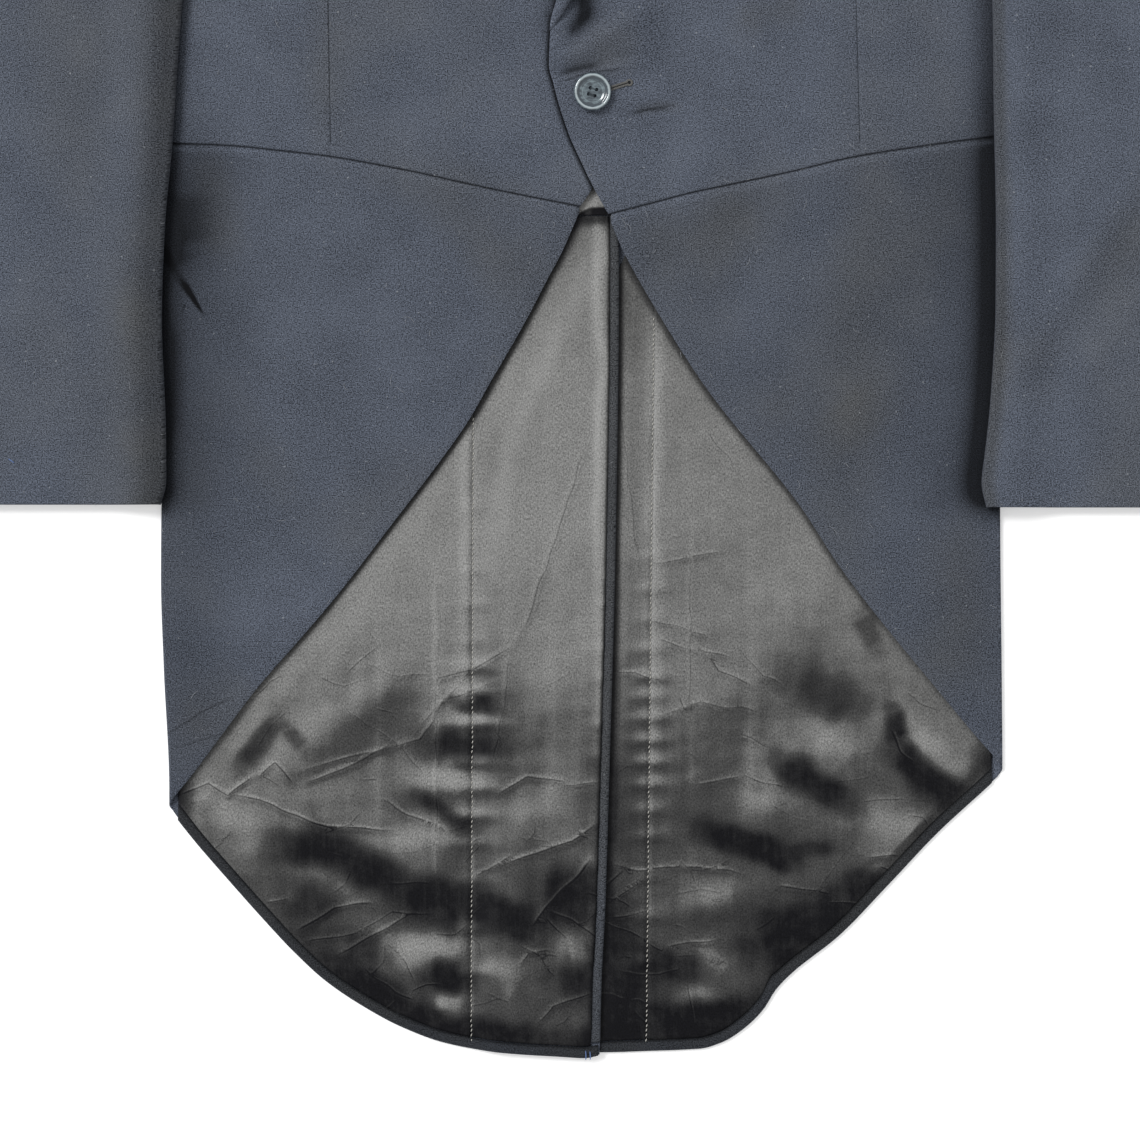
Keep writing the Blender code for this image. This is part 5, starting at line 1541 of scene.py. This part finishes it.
def make_button(looks, stuff, thread):
    """The button turned and set down on the left front, and the strands of thread that cross between its
    holes: each strand is straight in plan and dips into a hole at both ends."""
    mesh = cut_button(looks)
    centre = place(np.array([BUTTON_ACROSS, BUTTON_UP, button_base() + 0.05]))
    cosine, sine = math.cos(math.radians(BUTTON_TURN)), math.sin(math.radians(BUTTON_TURN))
    spin = np.array(((cosine, -sine, 0), (sine, cosine, 0), (0, 0, 1)))
    where = np.empty(len(mesh.vertices) * 3)
    mesh.vertices.foreach_get("co", where)
    mesh.vertices.foreach_set("co", (where.reshape(-1, 3) @ spin.T + centre).ravel())
    mesh.materials.clear()
    mesh.materials.append(stuff)
    mesh.polygons.foreach_set("use_smooth", np.ones(len(mesh.polygons), bool))
    mesh.set_sharp_from_angle(angle=math.radians(40))
    button = finish_piece(bpy.data.objects.new("front_button_turned", mesh), "horn")
    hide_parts("front_button")
    half = BUTTON_HOLE_SPACING / 2 * MM
    across = np.linspace(-1, 1, 9)
    dip = 0.9 - 1.6 * np.abs(across) ** 6
    lines = []
    for row in (-1, 1):
        for strand in (-0.35, 0.0, 0.35):
            line = np.stack((across * half * 1.12, np.full(9, row * half + strand * MM * (1 - 0.5 * row)),
                             (1.3 + dip) * MM), axis=1)
            lines.append(line @ spin.T + centre)
    return tubes("button_thread", np.array(lines), THREAD_RADIUS["button"] * MM, 6, thread, "wool")


def make_buttonhole(thread, slit_stuff):
    """Buttonhole: purl stitches side by side round a slit that ends in an eye, on the left front, the slit a
    thin near-black sheet of painted shade.
    """
    start, eye = np.array(BUTTONHOLE)
    length = float(np.linalg.norm(eye - start))
    forward = (eye - start) / length
    aside = np.array((-forward[1], forward[0]))
    steps = np.arange(0.0, length, BUTTONHOLE_SPACING)
    centres, ways = [], []
    for side in (-1, 1):
        centres.append(start + steps[:, None] * forward + side * 0.75 * aside)
        ways.append(np.repeat((side * aside)[None], len(steps), axis=0))
    angles = np.linspace(-2.2, 2.2, 13)
    round_it = np.cos(angles)[:, None] * forward + np.sin(angles)[:, None] * aside
    centres.append(eye + 0.9 * forward + 1.45 * round_it)
    ways.append(round_it)
    centres, ways = np.concatenate(centres), np.concatenate(ways)
    t = np.linspace(-1, 1, 7)
    flat = centres[:, None] + ways[:, None] * (t * 0.62)[None, :, None]
    top = front_height("left", flat[..., 0], flat[..., 1]) + WOOL / 2 + 0.16 + 0.26 * (1 - t ** 2)
    lines = place(np.concatenate((flat, top[..., None]), axis=2))
    stitches = tubes("buttonhole_stitches", lines, THREAD_RADIUS["buttonhole"] * MM, 6, thread, "wool")
    # The slit's opening: a thin near-black sheet standing for the shade in it
    share = np.linspace(0, 1, SLIT_COLUMNS)
    middle = start + share[:, None] * (eye + 1.3 * forward - start)
    wide = 0.28 + 0.75 * hump(share - 0.9, 0.09)
    rows = []
    for side in (-1, -0.5, 0, 0.5, 1):
        spot = middle + side * wide[:, None] * aside
        lie = front_height("left", spot[:, 0], spot[:, 1]) + WOOL / 2 + 0.02 + 0.08 * (1 - side ** 2)
        rows.append(np.concatenate((spot, lie[:, None]), axis=1))
    places = place(np.array(rows))
    slit = mesh_of("buttonhole_slit", places, grid_faces(*places.shape[:2]).tolist(), slit_stuff)
    solid = slit.modifiers.new("wall", "SOLIDIFY")
    solid.thickness = 0.1 * MM
    finish_piece(slit, "wool")
    return stitches, slit


def seam_stitches(looks, thread):
    """Prick stitches along both sewn-down edges of the tail lining: short slanting threads, evenly spaced."""
    lines = []
    t = np.linspace(-1, 1, 5)
    for side, top in STITCH_TOPS.items():
        ups = np.arange(9.0, top, looks.stitch_spacing / MM)
        chance = np.random.default_rng(7)
        ups = ups + chance.uniform(-0.25, 0.25, len(ups))
        out = pleat_out(side, ups) - 0.25 + chance.uniform(-0.18, 0.18, len(ups))
        flat = np.stack((out[:, None] + 0.3 * t * SIGN[side], ups[:, None] + 0.85 * t), axis=2)
        place_out, place_up = flat[..., 0], flat[..., 1]
        face = inner_height(side, place_out, place_up) + lining_relief(side, place_out, place_up)
        height = face + 0.5 + 0.2 * (1 - t ** 2)
        lines.append(place(np.concatenate((flat, height[..., None]), axis=2), side))
    radius = THREAD_RADIUS["prick"] * MM
    return tubes("lining_seam_stitches", np.concatenate(lines), radius, 5, thread, "satin")


def tack_threads(thread):
    """Loose blue basting ends: two across the hem by the vent and one near a cuff."""
    t = np.linspace(0, 1, 9)
    lines = []
    for *ends, height in BASTING_ENDS:
        first, last = np.array(ends).reshape(2, 2)
        flat = first + (last - first) * t[:, None]
        flat[:, 0] += 0.2 * np.sin(3 * t)
        if first[1] < 0:
            height = inner_height("right", -flat[:, 0], np.maximum(flat[:, 1], 2.0)) + 1.5
        rise = height + 0.5 * np.sin(math.pi * t)
        lines.append(place(np.concatenate((flat, rise[:, None]), axis=1)))
    return tubes("basting_threads", np.array(lines), THREAD_RADIUS["basting"] * MM, 6, thread, "wool")


def lint_fibres(looks, stuff, panels):
    """Pale lint on the cloth's upper face: short fibres, each an arc of its own turn and bend, seeded."""
    chance = np.random.default_rng(looks.lint_seed)
    t = np.linspace(0, 1, 8)
    lines = []
    for panel, share in panels:
        mesh = panel.data
        places = np.empty(len(mesh.vertices) * 3)
        mesh.vertices.foreach_get("co", places)
        places = places.reshape(-1, 3)
        dark = np.empty(len(mesh.vertices), np.float32)
        mesh.attributes["black"].data.foreach_get("value", dark)
        upper = places[(places[:, 2] > LINT_ABOVE) & (dark < LINT_DARKEST)]
        count = int(looks.lint_count * share)
        at = upper[chance.integers(0, len(upper), count)]
        length = chance.gamma(3.0, 0.95, count)[:, None] * MM
        angle = chance.uniform(0, 2 * math.pi, count)[:, None]
        bend = chance.normal(0, 1.6, count)[:, None]
        turned = angle + bend * t
        step = length / 7
        along_x = np.cumsum(np.cos(turned) * step, axis=1)
        along_y = np.cumsum(np.sin(turned) * step, axis=1)
        height = (0.72 + 0.25 * np.sin(math.pi * t)) * MM + 0 * along_x
        lines.append(np.stack((at[:, :1] + along_x, at[:, 1:2] + along_y, at[:, 2:] + height), axis=2))
    return tubes("lint", np.concatenate(lines), THREAD_RADIUS["lint"] * MM, 4, stuff, "wool")


# What a user would change

class CoatLooks(bpy.types.PropertyGroup):
    """Sizes and colours of the coat."""
    wool_wall: FloatProperty(name="Cloth thickness", description="Thickness of one layer of the worsted",
                             default=0.0013, min=0.0005, max=0.003, unit="LENGTH")
    satin_wall: FloatProperty(name="Lining thickness", description="Thickness of the lining", default=0.0008,
                              min=0.0002, max=0.002, unit="LENGTH")
    wool_colour: FloatVectorProperty(name="Cloth", description="Colour of the worsted with the nap",
                                     default=(0.080, 0.092, 0.1185), subtype="COLOR", min=0, max=1)
    # Browner colour that the painted shade on the cloth's slopes and troughs mixes towards
    wool_brown: FloatVectorProperty(name="Cloth, nap over", description="Colour where the nap lies over",
                                    default=(0.073, 0.077, 0.083), subtype="COLOR", min=0, max=1)
    satin_colour: FloatVectorProperty(name="Lining", description="Colour of the lining where it shines",
                                      default=(0.204, 0.204, 0.200), subtype="COLOR", min=0, max=1)
    satin_middle: FloatVectorProperty(name="Lining, middle tone", description="Colour of the lining between",
                                      default=(0.060, 0.060, 0.0595), subtype="COLOR", min=0, max=1)
    satin_dark: FloatVectorProperty(name="Lining, dark tone", description="Colour where it turns away",
                                    default=(0.005, 0.005, 0.0065), subtype="COLOR", min=0, max=1)
    button_size: FloatProperty(name="Button", description="Width of the front button", default=0.0204,
                               min=0.015, max=0.03, unit="LENGTH")
    button_colour: FloatVectorProperty(name="Button colour", description="Dark part of the button",
                                       default=(0.03, 0.045, 0.06), subtype="COLOR", min=0, max=1)
    button_streak: FloatVectorProperty(name="Button streaks", description="Pale clouds in the button",
                                       default=(0.17, 0.225, 0.25), subtype="COLOR", min=0, max=1)
    stitch_spacing: FloatProperty(name="Stitch spacing", description="Distance between the prick stitches",
                                  default=0.0027, min=0.0015, max=0.006, unit="LENGTH")
    lint_count: IntProperty(name="Lint", description="Number of lint fibres on the cloth", default=330, min=1,
                            max=2000)
    lint_seed: IntProperty(name="Lint placing", description="Seed of the fibres' places", default=11, min=0)


class CoatStage(bpy.types.PropertyGroup):
    """Floor, lights and camera."""
    floor_colour: FloatVectorProperty(name="Floor", description="Colour of the pale floor",
                                      default=(0.92, 0.92, 0.92), subtype="COLOR", min=0, max=1)
    sky: FloatProperty(name="Surrounding light", description="Strength of the soft light all round",
                       default=0.62, min=0, max=5)
    key: FloatProperty(name="Key light", description="Strength of the large soft light from the upper left",
                       default=2.2, min=0, max=50)
    middle_across: FloatProperty(name="View middle across", description="Distance from the coat's middle",
                                 default=-0.0081, unit="LENGTH")
    middle_along: FloatProperty(name="View middle along", description="Distance from the coat's middle",
                                default=-0.2355, unit="LENGTH")
    view_width: FloatProperty(name="View width", description="Width that the picture takes in", default=0.618,
                              min=0.1, unit="LENGTH")
    lens: FloatProperty(name="Lens", description="Focal length", default=85.0, min=20, max=300,
                        subtype="DISTANCE_CAMERA")


def stuff_of(name, make, *values):
    """The material of that name, made the first time that it is asked for."""
    return bpy.data.materials.get(name) or make(*values)


def wool_of(looks):
    """The coat's worsted, its slot and its thickness."""
    return stuff_of("slate_worsted", wool_stuff, looks), "wool", looks.wool_wall


def satin_of(looks):
    """The lining's satin, its slot and its thickness."""
    return stuff_of("grey_satin", satin_stuff, looks), "satin", looks.satin_wall


def thread_of(name, colour, shade):
    """A sewing thread of that name and colours."""
    return stuff_of(name, thread_stuff, name, opaque(colour), opaque(shade))


class COAT_OT_backs(bpy.types.Operator):
    """Make both backs with their tails and both side bodies"""
    bl_idname = "coat.backs"
    bl_label = "Backs and side bodies"

    def execute(self, context):
        looks = context.scene.coat_looks
        for side in SIGN:
            make_back(side, wool_of(looks))
            make_side_body(side, wool_of(looks))
        return {"FINISHED"}


class COAT_OT_linings(bpy.types.Operator):
    """Make the lining of tails, skirts and body, with the prick stitches along its seams"""
    bl_idname = "coat.linings"
    bl_label = "Linings"

    def execute(self, context):
        looks = context.scene.coat_looks
        stitches = seam_stitches(looks, thread_of("pale_thread", (0.62, 0.61, 0.56), (0.3, 0.29, 0.27)))
        for side in SIGN:
            make_tail_lining(side, satin_of(looks))
            make_skirt_lining(side, satin_of(looks))
        make_body_lining(satin_of(looks))
        return {"FINISHED"}


class COAT_OT_turn_ups(bpy.types.Operator):
    """Make the turned-in hem and vent and the blue basting ends"""
    bl_idname = "coat.turn_ups"
    bl_label = "Hem and vent turn-ups"

    def execute(self, context):
        looks = context.scene.coat_looks
        threads = tack_threads(thread_of("blue_thread", (0.16, 0.26, 0.52), (0.05, 0.08, 0.2)))
        pressed_thin = (*wool_of(looks)[:2], looks.satin_wall)
        make_turn_ups(pressed_thin)
        return {"FINISHED"}


class COAT_OT_skirts(bpy.types.Operator):
    """Make both skirts, folded round the sides to the cutaway edge"""
    bl_idname = "coat.skirts"
    bl_label = "Skirts"

    def execute(self, context):
        looks = context.scene.coat_looks
        for side in SIGN:
            make_skirt(side, wool_of(looks))
        return {"FINISHED"}


class COAT_OT_fronts(bpy.types.Operator):
    """Make both foreparts, the buttonhole, both lapels and the collar"""
    bl_idname = "coat.fronts"
    bl_label = "Fronts, lapels and collar"

    def execute(self, context):
        looks = context.scene.coat_looks
        hole = make_buttonhole(thread_of("buttonhole_thread", (0.24, 0.235, 0.22), (0.05, 0.05, 0.052)),
                               thread_of("slit_shade", (0.006, 0.006, 0.007), (0.002, 0.002, 0.003)))
        make_forepart("right", wool_of(looks))
        make_forepart("left", wool_of(looks))
        for side in SIGN:
            make_lapel(side, wool_of(looks))
        make_collar(wool_of(looks))
        return {"FINISHED"}


class COAT_OT_sleeves(bpy.types.Operator):
    """Make the top sleeve and under sleeve of both sleeves"""
    bl_idname = "coat.sleeves"
    bl_label = "Sleeves"

    def execute(self, context):
        looks = context.scene.coat_looks
        for side in SIGN:
            make_sleeve(side, wool_of(looks))
        return {"FINISHED"}


class COAT_OT_button(bpy.types.Operator):
    """Make the front button and its thread"""
    bl_idname = "coat.button"
    bl_label = "Button"

    def execute(self, context):
        looks = context.scene.coat_looks
        make_button(looks, stuff_of("navy_horn", horn_stuff, looks),
                    thread_of("button_thread", (0.07, 0.09, 0.105), (0.03, 0.04, 0.05)))
        return {"FINISHED"}


class COAT_OT_lint(bpy.types.Operator):
    """Scatter pale lint on the cloth that is already made"""
    bl_idname = "coat.lint"
    bl_label = "Lint"

    def execute(self, context):
        looks = context.scene.coat_looks
        panels = [(bpy.data.objects[f"{name}_cloth"], share) for name, share in LINT_SHARES.items()]
        lint_fibres(looks, thread_of("lint_thread", (0.5, 0.52, 0.56), (0.2, 0.21, 0.23)), panels)
        return {"FINISHED"}


class COAT_OT_stage(bpy.types.Operator):
    """Make the pale floor, the soft studio light and the camera straight above"""
    bl_idname = "coat.stage"
    bl_label = "Floor, lights and camera"

    def execute(self, context):
        stage = context.scene.coat_stage
        scene = context.scene
        steps = np.linspace(-4, 4, 9)
        across, along_y = np.meshgrid(steps, steps)
        places = np.stack((across, along_y, 0 * across), axis=2)
        floor = mesh_of("floor", places, grid_faces(*across.shape).tolist(), floor_stuff(stage.floor_colour))
        scene.collection.objects.link(floor)
        world = bpy.data.worlds.new("studio")
        world.use_nodes = True
        world.node_tree.nodes["Background"].inputs[0].default_value = (1.0, 1.0, 1.0, 1.0)
        world.node_tree.nodes["Background"].inputs[1].default_value = stage.sky
        scene.world = world
        light = bpy.data.lights.new("key_light", "SUN")
        light.energy = stage.key
        light.angle = math.radians(24)
        light.color = (1.0, 1.0, 1.0)
        lamp = bpy.data.objects.new("key_light", light)
        lamp.location = (-1.0, 1.0, 1.5)
        lamp.rotation_euler = (0.0, math.radians(-46), math.radians(-40))
        scene.collection.objects.link(lamp)
        camera = bpy.data.cameras.new("camera")
        camera.lens = stage.lens
        camera.sensor_width = SENSOR_WIDTH
        camera.clip_end = 50.0
        eye = bpy.data.objects.new("camera", camera)
        height = stage.view_width * stage.lens / SENSOR_WIDTH + COAT_TOP
        eye.location = (stage.middle_across, stage.middle_along, height)
        scene.collection.objects.link(eye)
        scene.camera = eye
        scene.view_settings.view_transform = "Standard"
        return {"FINISHED"}


class COAT_PT_panel(bpy.types.Panel):
    """Lists the coat's settings and pieces"""
    bl_idname = "COAT_PT_panel"
    bl_label = "Morning coat"
    bl_space_type = "VIEW_3D"
    bl_region_type = "UI"
    bl_category = "Coat"

    def draw(self, context):
        for settings in (context.scene.coat_looks, context.scene.coat_stage):
            for name in settings.__annotations__:
                self.layout.prop(settings, name)
        for kind in OPERATORS:
            self.layout.operator(kind.bl_idname)


OPERATORS = (COAT_OT_stage, COAT_OT_backs, COAT_OT_linings, COAT_OT_turn_ups, COAT_OT_skirts, COAT_OT_fronts,
             COAT_OT_sleeves, COAT_OT_button, COAT_OT_lint)
CLASSES = (CoatLooks, CoatStage, *OPERATORS, COAT_PT_panel)


def register():
    """Add the classes and the scene's settings."""
    for kind in CLASSES:
        bpy.utils.register_class(kind)
    bpy.types.Scene.coat_looks = PointerProperty(type=CoatLooks)
    bpy.types.Scene.coat_stage = PointerProperty(type=CoatStage)


def unregister():
    """Take the settings and classes out again."""
    del bpy.types.Scene.coat_stage
    del bpy.types.Scene.coat_looks
    for kind in reversed(CLASSES):
        bpy.utils.unregister_class(kind)


def main():
    """Make every piece in order."""
    register()
    bpy.ops.coat.stage()
    bpy.ops.coat.backs()
    bpy.ops.coat.linings()
    bpy.ops.coat.turn_ups()
    bpy.ops.coat.skirts()
    bpy.ops.coat.fronts()
    bpy.ops.coat.sleeves()
    bpy.ops.coat.button()
    bpy.ops.coat.lint()


if __name__ == "__main__":
    main()
